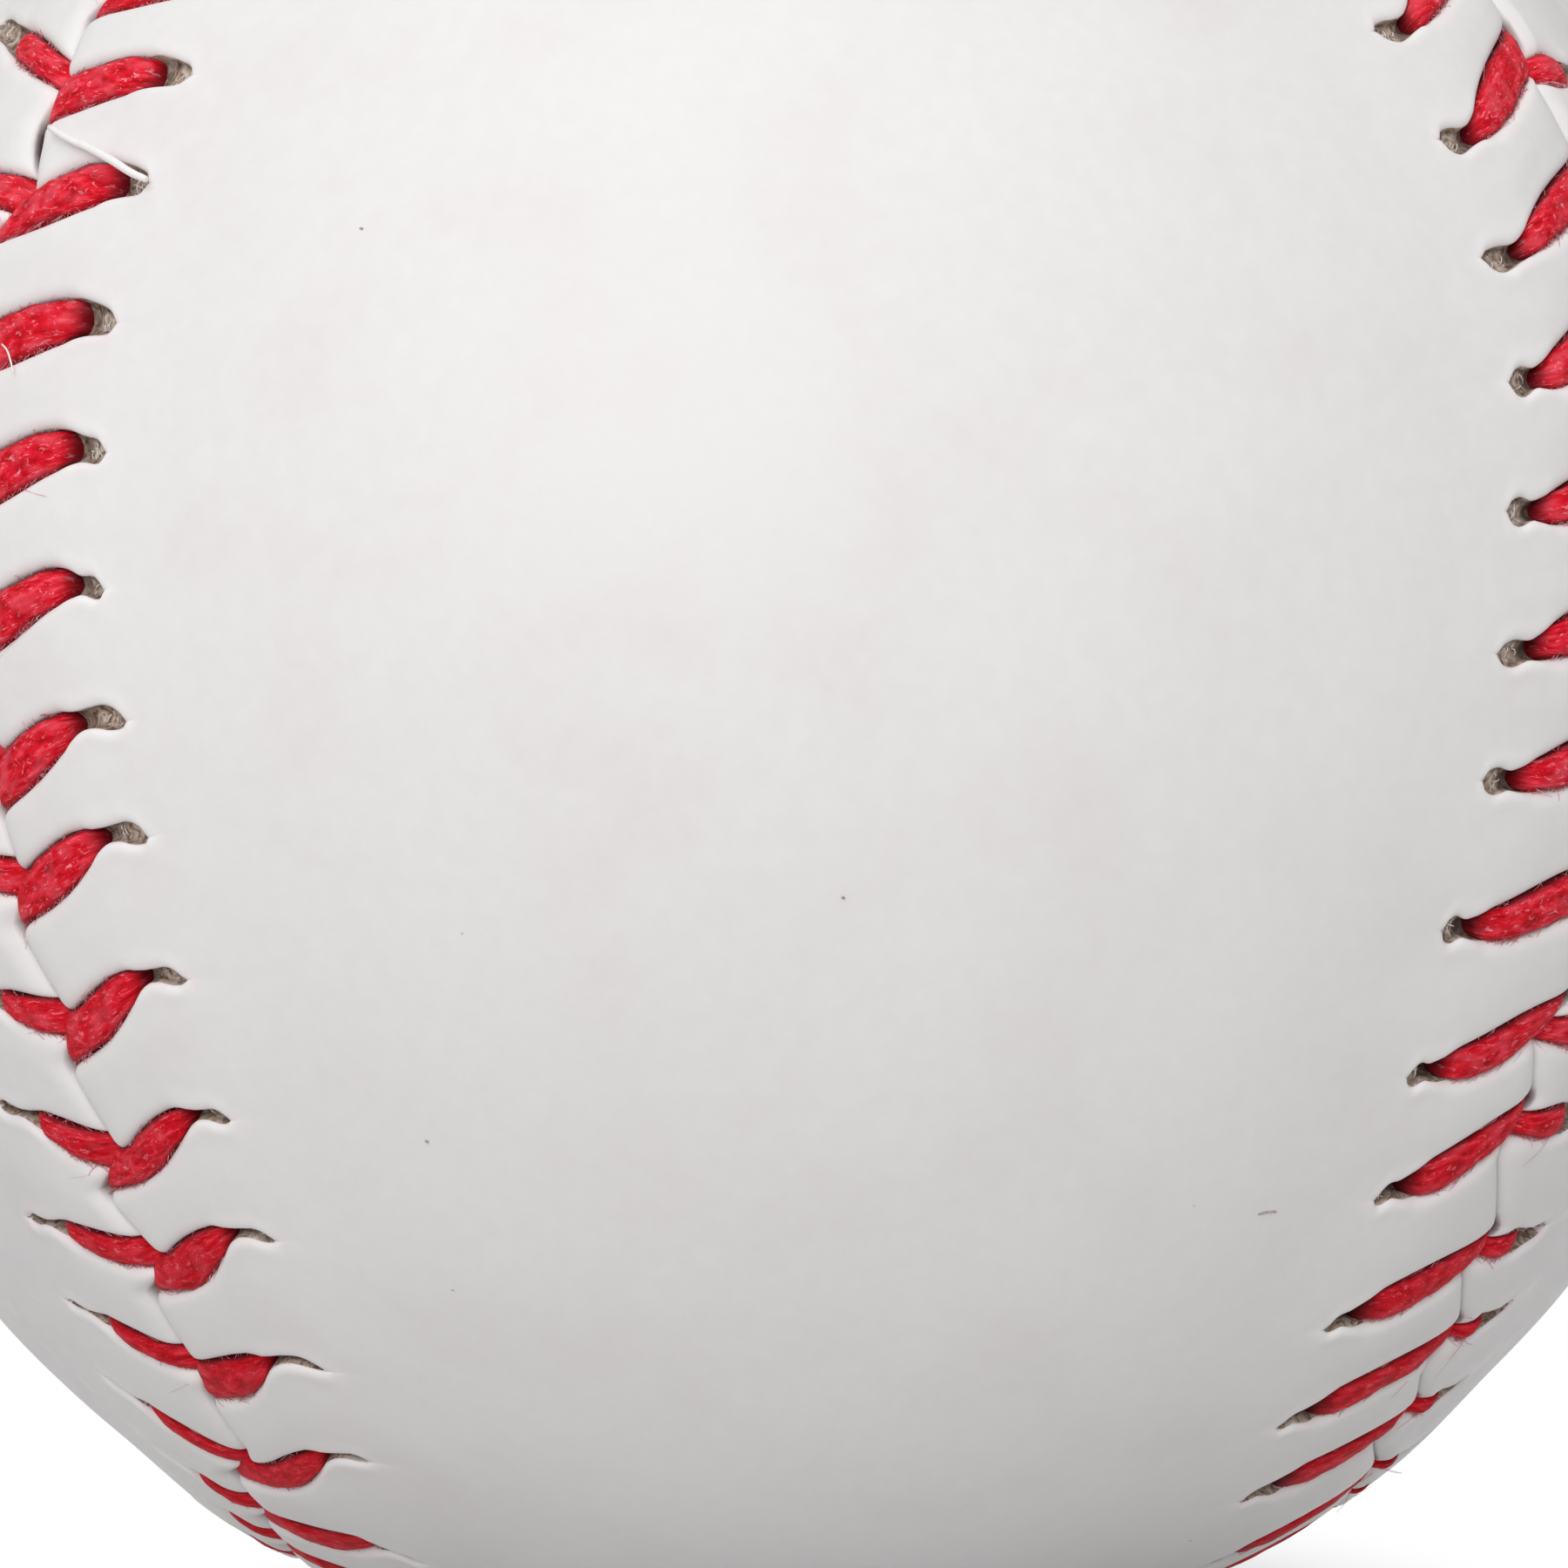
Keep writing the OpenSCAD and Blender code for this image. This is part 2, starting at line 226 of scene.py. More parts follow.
def tip_places():
    """Place of every stitch's tip along the seam. Those in the photograph are where it shows them, and
    the stitches beside them ease back to an even spacing."""
    p = np.arange(STITCHES)
    shift = SHIFT_SHARES[0] + SHIFT_SHARES[1] * np.cos(angle_at(p))
    tips = p + shift + np.random.default_rng(SEED).normal(0, 0.02, STITCHES)
    moved = {}
    for pixel in TIPS_PX:
        s, _ = seam_place(pixel)
        k = int(np.argmin(np.abs(tips - s)))
        moved[k] = s - tips[k]
    away = np.abs((p[:, None] - np.array(list(moved)) + STITCHES / 2) % STITCHES - STITCHES / 2)
    fade = np.clip(1 - away.min(axis=1) / SHIFT_FADE, 0, 1)
    return tips + np.array(list(moved.values()))[np.argmin(away, axis=1)] * fade


TIPS = tip_places()
TIP_KNOTS = np.concatenate([TIPS[-3:] - STITCHES, TIPS, TIPS[:3] + STITCHES])


def phase(s):
    """Part of the way from one stitch's tip to the next."""
    return np.mod(np.interp(s, TIP_KNOTS, np.arange(-3, STITCHES + 3)), 1)


def seam_saw(s):
    """How far the seam line steps towards panel A beside each stitch."""
    part = phase(s)
    notch = 0.3
    saw = np.where(part < notch, part / notch, 1 - (part - notch) / (1 - notch))
    return SEAM_SAW * (1 - SEAM_SAW_SWING * np.cos(angle_at(s))) * saw


def sway_knots():
    """Places along the seam, and how far it lies towards panel A there. Behind the ball it lies true."""
    knots = [(place_on_seam, 0.0) for place_on_seam in (0, 0.3 * STITCHES, 0.7 * STITCHES)]
    for pixel in TIPS_PX:
        s, d = seam_place(pixel)
        knots.append((s, d - TIP_STAND_OFF))
    for pixel in CROTCHES_PX:
        s, d = seam_place(pixel)
        knots.append((s, d - seam_saw(s)))
    return np.array(sorted(knots)).T


SWAY_PLACES, SWAYS = sway_knots()
SLIT_AT, _ = seam_place(SLIT_PX)


def seam_shift(s):
    """How far the seam line lies towards panel A: it saws at each stitch and sways round the ball."""
    shift = seam_saw(s) + np.interp(s, SWAY_PLACES, SWAYS, period=STITCHES)
    return np.clip(shift, -SEAM_SWAY_LIMIT, SEAM_SWAY_LIMIT)


def seam_open(s):
    """Half of the gap between the panels, wider just before the tip of each stitch and at one slit."""
    part = phase(s)
    start, end = 0.83, 0.35
    before = smooth((part - start) / (1 - start))
    after = 1 - smooth(part / end)
    size = TIP_OPENING + TIP_OPENING_SWING * np.cos(angle_at(s))
    at_tip = size * np.where(part > 0.5, before, after)
    slit = np.exp(-((s - SLIT_AT) / SLIT_REACH) ** 2)
    return SEAM_OPENING * np.maximum(at_tip, slit)


def place(s, d, h, side):
    """As skin, with the seam line's sway and its openings taken in near the seam."""
    near = np.exp(-(d / SEAM_REACH) ** 2)
    return skin(s, d + (side * seam_shift(s) + seam_open(s)) * near, h, side)


def local_pitch(d, side):
    """Length of a stitch at that distance from the seam, for each stitch."""
    p = np.arange(STITCHES)
    return np.linalg.norm(skin(p + 0.5, d, 0 * MM, side) - skin(p - 0.5, d, 0 * MM, side), axis=-1)


# Stitches: every one has its own small differences, which the leather and the thread share

def stitch_shapes(side):
    """Sizes and looks of every stitch of one row, which follow the photograph's four corners.
    lead, near, slot, open, tail, pit: the slot's place, start, length, width, first width and depth.
    fore, aft, belly_fore, belly_aft, full, sag: the leg's edges at the seam, and how they bow out.
    hook, pinch, aside, room, height: how the leg bends, narrows, shifts, ends and lifts.
    dark, gloom: painted shade in the slot and at the thread's end; last, how much painted light the thread
    gets."""
    rng = np.random.default_rng(SEED + side)
    p = np.arange(STITCHES)
    swing = np.cos(angle_at(p))
    # From 0 to 1: how far right in the photograph a stitch is, and how far down or up it is
    right = smooth(0.5 + 0.7 * swing)
    left = 1 - right
    rise = seam_dir(angle_at(p))[:, 2]
    low = smooth((-rise - 0.1) / 0.75)
    below = smooth((0.33 - rise) / 0.6)
    level = 1 - smooth((rise - 0.23) / 0.3)
    high = smooth((rise - 0.17) / 0.3)

    def vary(size):
        return rng.normal(0, size, STITCHES)

    shape = {"lead": LEAD_SHARES[side] + side * SWING_SHARE * swing + vary(0.02)}
    if side > 0:
        shape["fore"] = (vary(0.03) - 0.22) * MM
        shape["aft"] = (1.58 - 0.12 * swing + vary(0.05)) * MM
        shape["belly_fore"] = (0.05 + 0.37 * low * left + vary(0.03)) * MM
        shape["belly_aft"] = ((0.26 - 0.06 * low) * left + (0.32 + 0.4 * low) * right + vary(0.04)) * MM
        shape["near"] = SLOT_NEAR[side] + (vary(0.08) - 0.2 * right) * MM
        shape["slot"] = SLOT_LENGTH * (1 + 0.25 * right + vary(0.06))
        hook_left = 0.08 + 0.27 * level + 0.33 * below + 0.3 * low
        hook_right = 0.3 - 0.75 * low + 0.53 * high
        shape["hook"] = (hook_left * left + hook_right * right) * MM
        shape["tail"] = 1 - 0.62 * below * left - (0.62 - 0.37 * low) * right
    else:
        shape["lead"] = shape["lead"] - (0.12 + 0.22 * low) * right
        nearer = low * right + 0.4 * below * (1 - low) * left
        shape["fore"] = (1.12 + 0.03 * swing - nearer + vary(0.05)) * MM
        shape["aft"] = (2.18 - 0.24 * swing - nearer - 0.3 * low * right + vary(0.05)) * MM
        shape["belly_fore"] = (0.16 + 0.1 * low + vary(0.03)) * MM
        shape["belly_aft"] = (0.12 - 0.12 * low * left + 0.1 * right + vary(0.03)) * MM
        shape["near"] = SLOT_NEAR[side] + (vary(0.08) - (0.3 - 0.8 * high) * right) * MM
        shape["slot"] = SLOT_LENGTH * (1.3 + 0.5 * (1 - below) * left + vary(0.06))
        shape["hook"] = (0.08 + 0.22 * low * left) * MM
        shape["tail"] = 1 - (0.45 + 0.17 * below) * left
    narrow = (0.6 * low + 0.15 * below) * left + 0.15 * low * right
    shape["open"] = np.clip(1 - narrow + vary(0.06), 0.35, 1.1)
    shape["full"] = (0.6 - 0.9 * below) * left + 0.3 * (low - high) * right
    shape["sag"] = 1.15 + (0.9 * low - 0.25 * high) * right
    shape["pinch"] = (0.3 * below + 0.2 * low) * left + 0.15 * high * right
    # Painted shade at the thread's end, longer low down on the right.
    shape["gloom"] = low * right
    # Painted light on the thread: full high on the ball and a quarter low down, where the thread is painted
    # darker and its pale patches and curls fade.
    shape["painted_top_light"] = 1 - 0.75 * low
    # Painted shade in the slot where the thread goes in, darker on the right.
    shape["dark"] = 0.4 + 0.35 * right
    shape["pit"] = (0.6 + 0.3 * low * right) * MM
    shape["aside"] = (0.3 * left * (1 - below) + 0.28 * right * low) * MM
    shape["room"] = (0.6 * low - 0.2) * right * MM
    shape["height"] = vary(0.02) * MM
    fit_to_photo(shape, side)
    return shape


def fit_to_photo(shape, side):
    """Moves the slots that the photograph shows to where it shows them."""
    for pixel in SLOTS_A_PX if side > 0 else SLOTS_B_PX:
        s, d = seam_place(pixel)
        k = int(np.argmin(np.abs(TIPS + shape["lead"] - s)))
        shape["lead"][k] = s - TIPS[k]
        shape["near"][k] = side * d - shape["slot"][k]
    for pixel in THREAD_ENDS_PX if side > 0 else ():
        s, d = seam_place(pixel)
        k = int(np.argmin(np.abs(TIPS + shape["lead"] - s)))
        far = shape["near"][k] + shape["slot"][k]
        shape["near"][k] = min(side * d + shape["room"][k], far - SHORTEST_SLOT)
        shape["slot"][k] = far - shape["near"][k]


SHAPES = {side: stitch_shapes(side) for side in (1, -1)}


def leg_edges(d, side):
    """Fore and aft edge of each thread leg and its slot at distance d from the seam, in stitches."""
    shape = SHAPES[side]
    pitch = local_pitch(d, side)
    far = shape["near"] + shape["slot"]
    at_seam = (shape["fore"] + shape["aft"]) / 2
    lean = np.cos(np.arctan2(shape["lead"] * PITCH - at_seam, far))
    u = np.clip(d / far, 0, 1)
    into = (d - shape["near"]) / shape["slot"]
    q = np.clip(into, 0, 1)
    taper = np.sqrt(1 - q ** 4)
    slot_half_w = SLOT_HALF_W * shape["open"] * (shape["tail"] + (1 - shape["tail"]) * smooth(q / 0.6))
    half = (shape["aft"] - shape["fore"]) / 2 * (1 - u) + slot_half_w / lean * u
    neck = smooth((into + 0.5) / 0.6) * (1 - smooth((into - 0.3) / 0.5))
    half = half * (1 - shape["pinch"] * neck)
    belly = np.clip(d / (shape["near"] + shape["full"] * shape["slot"]), 0, 1)
    half_fore = half + shape["belly_fore"] / lean * np.sin(math.pi * belly ** 1.6)
    half_aft = half + shape["belly_aft"] / lean * np.sin(math.pi * belly ** shape["sag"])
    half_fore = np.maximum(half_fore * taper, HAIR_HALF_W)
    half_aft = np.maximum(half_aft * taper, HAIR_HALF_W)
    hook = shape["hook"] / pitch * np.sin(math.pi * u ** HOOK_POWER)
    middle = at_seam / PITCH * (1 - u) + shape["lead"] * u + hook
    return TIPS + middle - half_fore / pitch, TIPS + middle + half_aft / pitch


# Leather panels: rows of points beside the seam, then two coarser rows, and a fill in the middle

SIDE_COLUMNS = 9
INSIDE_COLUMNS = 5
COLUMNS = 2 * SIDE_COLUMNS + INSIDE_COLUMNS + 1
FINE = COLUMNS * STITCHES
COLUMN_POWER = 2.2
SEAM_ROW_SHARES = (0, 0.04, 0.1, 0.18, 0.3, 0.46, 0.65, 0.88)
ROWS = np.concatenate([
    np.array(SEAM_ROW_SHARES) * PAD_CREST,
    np.arange(1.4, 3.3, 0.6) * MM,
    np.arange(3.4, 4.1, 0.2) * MM,
    np.arange(4.2, 6.7, 0.135) * MM,
    np.array([6.9, 7.3, 7.9, 8.6]) * MM,
])
LAST_EDGE_ROW = 6.66 * MM
OUTER_BOUNDS = (9.0 * MM, 9.4 * MM)
INNER_BOUNDS = (0.8 * MM, 1.6 * MM)
RIM_WIDTH = 0.2 * MM

# Each skin unevenness: its length, its height and how many waves make it up
UNDULATIONS = ((9 * MM, 0.022 * MM, 8), (3.5 * MM, 0.008 * MM, 10))


def pad_height(d):
    """Height of the leather between two stitches: rounded down into the seam, then fading into the ball."""
    rise = PAD_RISE + EDGE_DROP
    x = np.clip(d / PAD_CREST, 0, 1)
    near = rise * np.sqrt(np.clip(1 - (1 - x) ** 3, 0, 1)) - EDGE_DROP
    fade = 1 - smooth((d - PAD_FADE) / (PAD_REACH - PAD_FADE))
    return near * fade


def groove_floor(d):
    """Leather under the thread leg, which dives into the seam."""
    dive = np.clip(1 - d / GROOVE_DIVE_REACH, 0, 1) ** 2
    return -GROOVE_DEPTH - GROOVE_DIVE * dive


def undulation(points):
    """Slow unevenness of the leather skin."""
    rng = np.random.default_rng(SEED)
    total = np.zeros(points.shape[:-1])
    for size, height, waves in UNDULATIONS:
        for _ in range(waves):
            wave = rng.normal(size=3)
            wave *= 2 * math.pi / size / np.linalg.norm(wave)
            total += height / math.sqrt(waves) * np.sin(points @ wave + rng.uniform(0, 2 * math.pi))
    return total


def column_shapes(side):
    """The stitches' shapes as columns, which combine with a row of points for each stitch."""
    return {key: value[:, None] for key, value in SHAPES[side].items()}


def pit_floor(d, share, shape):
    """Bottom of the needle slot, deepest where the thread comes out of it."""
    q = (d - shape["near"]) / shape["slot"]
    deep = shape["pit"] - (shape["pit"] - PIT_END_DEPTH) * smooth((q + 0.3) / 0.75)
    round_wall = 1 - 0.45 * (2 * share - 1) ** 2
    return -deep * round_wall


def pit_shade(d, raw, across, side):
    """Painted shade in the pit: where the thread goes in, and on its walls."""
    shape = column_shapes(side)
    q = (d - shape["near"]) / shape["slot"]
    at_thread = shape["dark"] * (1 - smooth((q + 0.25) / 0.7))
    at_wall = 0.5 * np.maximum(smooth((np.abs(2 * across - 1) - 0.5) / 0.5), smooth((q - 0.75) / 0.25))
    return np.where(raw, np.maximum(at_thread, at_wall), 0)


def row_positions(d, side):
    """Columns of one row: place along the seam, distance outside the thread's edge, share across it."""
    fore, aft = leg_edges(min(d, LAST_EDGE_ROW), side)
    pitch = local_pitch(d, side)
    before = np.roll(aft, 1)
    before[0] -= STITCHES
    after = np.roll(fore, -1)
    after[-1] += STITCHES
    half_before = (fore - before) / 2
    half_after = (after - aft) / 2
    steps = (np.arange(1, SIDE_COLUMNS + 1) / SIDE_COLUMNS) ** COLUMN_POWER
    shares = np.linspace(0, 1, INSIDE_COLUMNS + 2)
    none = np.zeros(STITCHES)
    columns = [(fore - half_before * step, half_before * step * pitch, none) for step in steps[-2::-1]]
    columns += [(fore + (aft - fore) * share, none, none + share) for share in shares]
    columns += [(aft + half_after * step, half_after * step * pitch, none + 1) for step in steps]
    s, out, across = (np.stack(values, axis=1) for values in zip(*columns))
    even = np.arange(STITCHES)[:, None] + (np.arange(COLUMNS)[None, :] + 0.5) / COLUMNS
    ease = smooth((d - LAST_EDGE_ROW) / (PAD_REACH - LAST_EDGE_ROW))
    return s + (even - s) * ease, out, across


def row_heights(d, out, side):
    """Heights of one row of the strip, and which of its points are on raw leather."""
    shape = column_shapes(side)
    crown = 1 - 0.22 * np.exp(-out / (0.75 * MM))
    top = pad_height(d) * crown + shape["height"] * smooth(d / PAD_CREST) * (1 - smooth(d / PAD_REACH))
    at_slot = smooth((d - shape["near"] + 1.1 * MM) / (0.8 * MM))
    radius = (0.42 - 0.24 * at_slot) * MM
    drop = (0.36 - 0.2 * at_slot) * MM
    q = (d - shape["near"]) / shape["slot"]
    beyond = smooth((q - 1) / 0.2)
    drop = drop * (1 - beyond) * np.where(q > 1, 0.3, 1)
    lip = 0.05 * MM * at_slot * np.exp(-((out - 0.3 * MM) / (0.2 * MM)) ** 2) * (1 - beyond)
    x = np.clip(out / radius, 0, 1)
    edge = drop * (1 - np.sqrt(np.clip(1 - (1 - x) ** 2, 0, 1)))
    shoulder = top + lip - edge
    thread_columns = slice(SIDE_COLUMNS - 1, SIDE_COLUMNS + INSIDE_COLUMNS + 1)
    inside = np.zeros(out.shape, bool)
    inside[:, thread_columns] = True
    share = np.zeros(out.shape)
    share[:, thread_columns] = np.linspace(0, 1, INSIDE_COLUMNS + 2)
    to_pit = smooth((d - shape["near"] + PIT_LEAD) / (0.6 * MM))
    floor = groove_floor(d) * (1 - to_pit) + pit_floor(d, share, shape) * to_pit
    closed = q >= 1
    floor = np.where(closed, top - drop, floor)
    return np.where(inside, floor, shoulder), inside & ~closed & (d > shape["near"] - PIT_LEAD)


def narrow_faces(high, n_high, low, n_low):
    """Faces from a closed row of n_high points to a closed row of n_low points."""
    per = n_high // n_low
    faces = []
    for j in range(n_low):
        here = low + j
        following = low + (j + 1) % n_low
        first = high + per * j
        for k in range(per - 1):
            faces.append((first + k, first + k + 1, here))
        last = first + per - 1
        beyond = high + (per * (j + 1)) % n_high
        faces.append((last, beyond, following, here))
    return faces


FILL_ACROSS = 36
MIDDLE = 3 * STITCHES
HALFWAY = 6 * STITCHES


def bound_s(count):
    """Places along the seam of a row of that many points."""
    return (np.arange(count) + 0.5) * STITCHES / count


def fill_points(d, h, side):
    """Points of the panel's middle: lines from each point of the bound to its mirror twin."""
    start = 0 if side > 0 else MIDDLE // 4
    axis = 0 if side > 0 else 1
    lines = (start + np.arange(1, MIDDLE // 2 - 1)) % MIDDLE
    p = skin(bound_s(MIDDLE)[lines], d, h, side)
    size = np.linalg.norm(p, axis=-1)
    reach = np.arcsin(p[:, axis] / size)
    flat = p.copy()
    flat[:, axis] = 0
    flat = unit(flat)
    f = 1 - 2 * np.arange(1, FILL_ACROSS) / FILL_ACROSS
    turn = reach[:, None] * f[None, :]
    points = np.cos(turn)[..., None] * flat[:, None, :]
    points[..., axis] = np.sin(turn)
    return points * size[:, None, None]


def fill_faces(bound, fill, side):
    start = 0 if side > 0 else MIDDLE // 4
    half = MIDDLE // 2

    def index(i, j):
        if j == 0:
            return bound + (start + i) % MIDDLE
        if j == FILL_ACROSS:
            return bound + (start + MIDDLE - 1 - i) % MIDDLE
        return fill + (i - 1) * (FILL_ACROSS - 1) + j - 1

    faces = []
    for i in range(1, half - 2):
        for j in range(FILL_ACROSS):
            faces.append((index(i, j), index(i + 1, j), index(i + 1, j + 1), index(i, j + 1)))
    for line, tip, flip in ((1, 0, False), (half - 2, half - 1, True)):
        corner = bound + (start + tip) % MIDDLE
        twin = bound + (start + MIDDLE - 1 - tip) % MIDDLE
        fan = [(corner, index(line, j), index(line, j + 1)) for j in range(FILL_ACROSS)]
        fan.append((corner, index(line, FILL_ACROSS), twin))
        faces += [f[::-1] for f in fan] if flip else fan
    return faces


def panel_mesh(side):
    """Points, faces, slot faces and the two marks of one leather panel, a closed solid: rims, and a dark
    seam line with painted shade.
    """
    points, faces, slot_faces, marks = [], [], set(), []
    count = 0
    raw_rows = []

    def add(block, rim=0.0, seam_line_and_shade=0.0):
        nonlocal count
        block = block.reshape(-1, 3)
        points.append(block)
        marks.append(np.stack([np.ones(len(block)) * np.ravel(values) for values in (rim, seam_line_and_shade)]))
        count += len(block)
        return count - len(block)

    starts = []
    for d in ROWS:
        s, out, across = row_positions(d, side)
        h, raw = row_heights(d, out, side)
        base = place(s, np.full(s.shape, d), np.zeros(s.shape), side)
        h = h + undulation(base) * smooth(d / (0.8 * MM))
        # Rims of the threads and slots: a pink stain from the thread, and a painted highlight that makes
        # the leather paler there.
        rim = np.exp(-out / RIM_WIDTH) * (1 - smooth((d - 5.7 * MM) / (0.8 * MM)))
        # A thin dark seam line, with painted shade where the seam opens before each tip and at the slit.
        gap = seam_open(s) / SEAM_OPENING
        seam_line_and_gap_shade = np.clip(0.15 + gap, 0, 1) * (1 - smooth(d / ((0.08 + 0.1 * gap) * MM)))
        seam_line_and_shade = np.maximum(seam_line_and_gap_shade, pit_shade(d, raw, across, side))
        starts.append(add(place(s, np.full(s.shape, d), h, side), rim, seam_line_and_shade))
        raw_rows.append(raw.reshape(-1))
    following = (np.arange(FINE) + 1) % FINE
    for row in range(len(ROWS) - 1):
        low, high = starts[row], starts[row + 1]
        here, above = raw_rows[row], raw_rows[row + 1]
        raw = here & here[following] | above & above[following]
        wall = (here ^ here[following]) & (above ^ above[following])
        for c in range(FINE):
            if raw[c] or wall[c]:
                slot_faces.add(len(faces))
            n = following[c]
            faces.append((low + c, low + n, high + n, high + c))

    def close(start, bounds, h, bumpy):
        """Faces from the row that starts there over the whole middle of the panel."""
        mid = skin(bound_s(HALFWAY), bounds[0], h, side)
        low = skin(bound_s(MIDDLE), bounds[1], h, side)
        fill = fill_points(bounds[1], h, side)
        if bumpy:
            mid, low, fill = (p * (1 + undulation(p) / BALL_R)[..., None] for p in (mid, low, fill))
        mid_start, low_start, fill_start = add(mid), add(low), add(fill)
        return (narrow_faces(start, FINE, mid_start, HALFWAY)
                + narrow_faces(mid_start, HALFWAY, low_start, MIDDLE)
                + fill_faces(low_start, fill_start, side))

    faces += close(starts[-1], OUTER_BOUNDS, 0 * MM, True)
    rim_s, _, _ = row_positions(ROWS[0], side)
    # The foot of the seam wall gets full painted shade.
    foot = add(place(rim_s, np.full(rim_s.shape, ROWS[0]), np.full(rim_s.shape, -COVER_T), side), 0.0, 1.0)
    for c in range(FINE):
        n = following[c]
        faces.append((foot + c, foot + n, starts[0] + n, starts[0] + c))
    inner = close(foot, INNER_BOUNDS, -COVER_T, False)
    faces += [f[::-1] for f in inner]
    if side < 0:
        faces = [f[::-1] for f in faces]
    return np.concatenate(points), faces, slot_faces, np.concatenate(marks, axis=1)


def new_object(name, points, faces, materials):
    mesh = bpy.data.meshes.new(name)
    mesh.from_pydata(points.tolist(), [], faces)
    mesh.validate()
    mesh.shade_smooth()
    for material in materials:
        mesh.materials.append(material)
    return link_object(name, mesh)


def set_mark(mesh, name, values):
    """A number for each point, which the mesh's material reads by name."""
    mesh.attributes.new(name, "FLOAT", "POINT").data.foreach_set("value", values.astype(np.float32))


def make_panel(side, name, node):
    points, faces, slot_faces, (rim, seam_line_and_shade) = panel_mesh(side)
    piece = new_object(name, points, faces, [MATERIALS["cover_leather"], MATERIALS["raw_leather"]])
    mesh = piece.data
    index = np.zeros(len(mesh.polygons), dtype=np.int32)
    index[list(slot_faces)] = 1
    mesh.polygons.foreach_set("material_index", index)
    set_mark(mesh, "rim", rim)
    set_mark(mesh, "seam_line_and_shade", seam_line_and_shade)
    finish_piece(piece, node)


# Thread

# Distance from the seam and height of a leg's middle line, from the slot down into the seam
LEG_PATH = np.array([
    (3.74, -1.05), (3.73, -0.8), (3.69, -0.54), (3.57, -0.28), (3.3, -0.08), (2.8, 0.04), (2.2, 0.08),
    (1.5, 0.07), (0.95, 0.03), (0.45, -0.06), (0.08, -0.24), (-0.16, -0.55), (-0.25, -1.0),
]) * MM
LEG_PATH_REACH = 4.3 * MM
LEG_RINGS = 40
LEG_SIDES = 24
UNDER_DROP = 0.12 * MM

# Power that makes the legs' section boxier than an oval, and what their swelling is scaled by
LEG_BOX = 0.82
LEG_SHRINK = 0.97

# Waves of the thread's surface: turns round it, length in millimetres, height as a share of its radius
THREAD_WAVES = ((2, 4.0, 0.03), (3, 2.2, 0.022), (5, 1.7, 0.018), (8, 1.4, 0.016), (11, 1.1, 0.012))

# In millimetres: the way round a leg, and the step that makes each leg's fibres differ
LEG_GIRTH = 3.4
LEG_STEP = 7.3


def smooth_path(points, count):
    """Evenly spaced points along a Catmull-Rom curve through the given ones."""
    padded = np.concatenate([[2 * points[0] - points[1]], points, [2 * points[-1] - points[-2]]])
    fine = []
    for k in range(len(points) - 1):
        a, b, c, d = padded[k:k + 4]
        for t in np.linspace(0, 1, 12, endpoint=False):
            fine.append(0.5 * (2 * b + (c - a) * t + (2 * a - 5 * b + 4 * c - d) * t * t
                               + (3 * b - a - 3 * c + d) * t ** 3))
    fine = np.array(fine + [points[-1]])
    run = np.concatenate([[0], np.cumsum(np.linalg.norm(np.diff(fine, axis=0), axis=1))])
    even = np.linspace(0, run[-1], count)
    return np.stack([np.interp(even, run, fine[:, k]) for k in range(fine.shape[1])], axis=1)


def leg_frames(side):
    """Centre, half-width vector and half-depth vector of every ring of every leg, and its run so far."""
    shape = SHAPES[side]
    path = smooth_path(LEG_PATH, LEG_RINGS)
    centers, wides, depths = [], [], []
    for reach, h in path:
        d = reach / LEG_PATH_REACH * shape["near"]
        fore, aft = leg_edges(d, side)
        drop = UNDER_DROP * (1 - smooth(d / (1.4 * MM))) if side < 0 else 0
        height = h - drop + shape["height"]
        a = place(fore, d, height, side)
        b = place(aft, d, height, side)
        dive = smooth((reach - 3.2 * MM) / (0.6 * MM))
        centers.append((a + b) / 2 + unit(b - a) * (shape["aside"] * dive)[:, None])
        wides.append((b - a) / 2 * (1 - 0.08 * dive))
        depths.append(np.full(STITCHES, THREAD_HALF_T * (1 - 0.45 * dive)))
    centers, wides = np.stack(centers, axis=1), np.stack(wides, axis=1)
    depths = np.stack(depths, axis=1)[..., None]
    ahead = np.gradient(centers, axis=1)
    deep = unit(np.cross(ahead, wides))
    up = np.sign(np.sum(deep * centers, axis=-1, keepdims=True).mean(axis=1, keepdims=True))
    steps = np.linalg.norm(np.diff(centers, axis=1), axis=-1)
    run = np.concatenate([np.zeros((STITCHES, 1)), np.cumsum(steps, axis=1)], axis=1)
    return centers, wides, deep * up * depths, run


def thread_noise(rng, run, angle):
    """Uneven surface of a waxed thread: long fibres that wind slowly round it, and lumps."""
    total = np.zeros((STITCHES, LEG_RINGS, LEG_SIDES))
    for turns, size, height in THREAD_WAVES:
        for _ in range(2):
            start = rng.uniform(0, 2 * math.pi, (STITCHES, 1, 1))
            speed = 2 * math.pi / (size * MM) * rng.uniform(0.5, 1.5, (STITCHES, 1, 1))
            total += height * np.sin(turns * angle + speed * run[..., None] + start)
    return total + rng.normal(0, 0.008, total.shape)


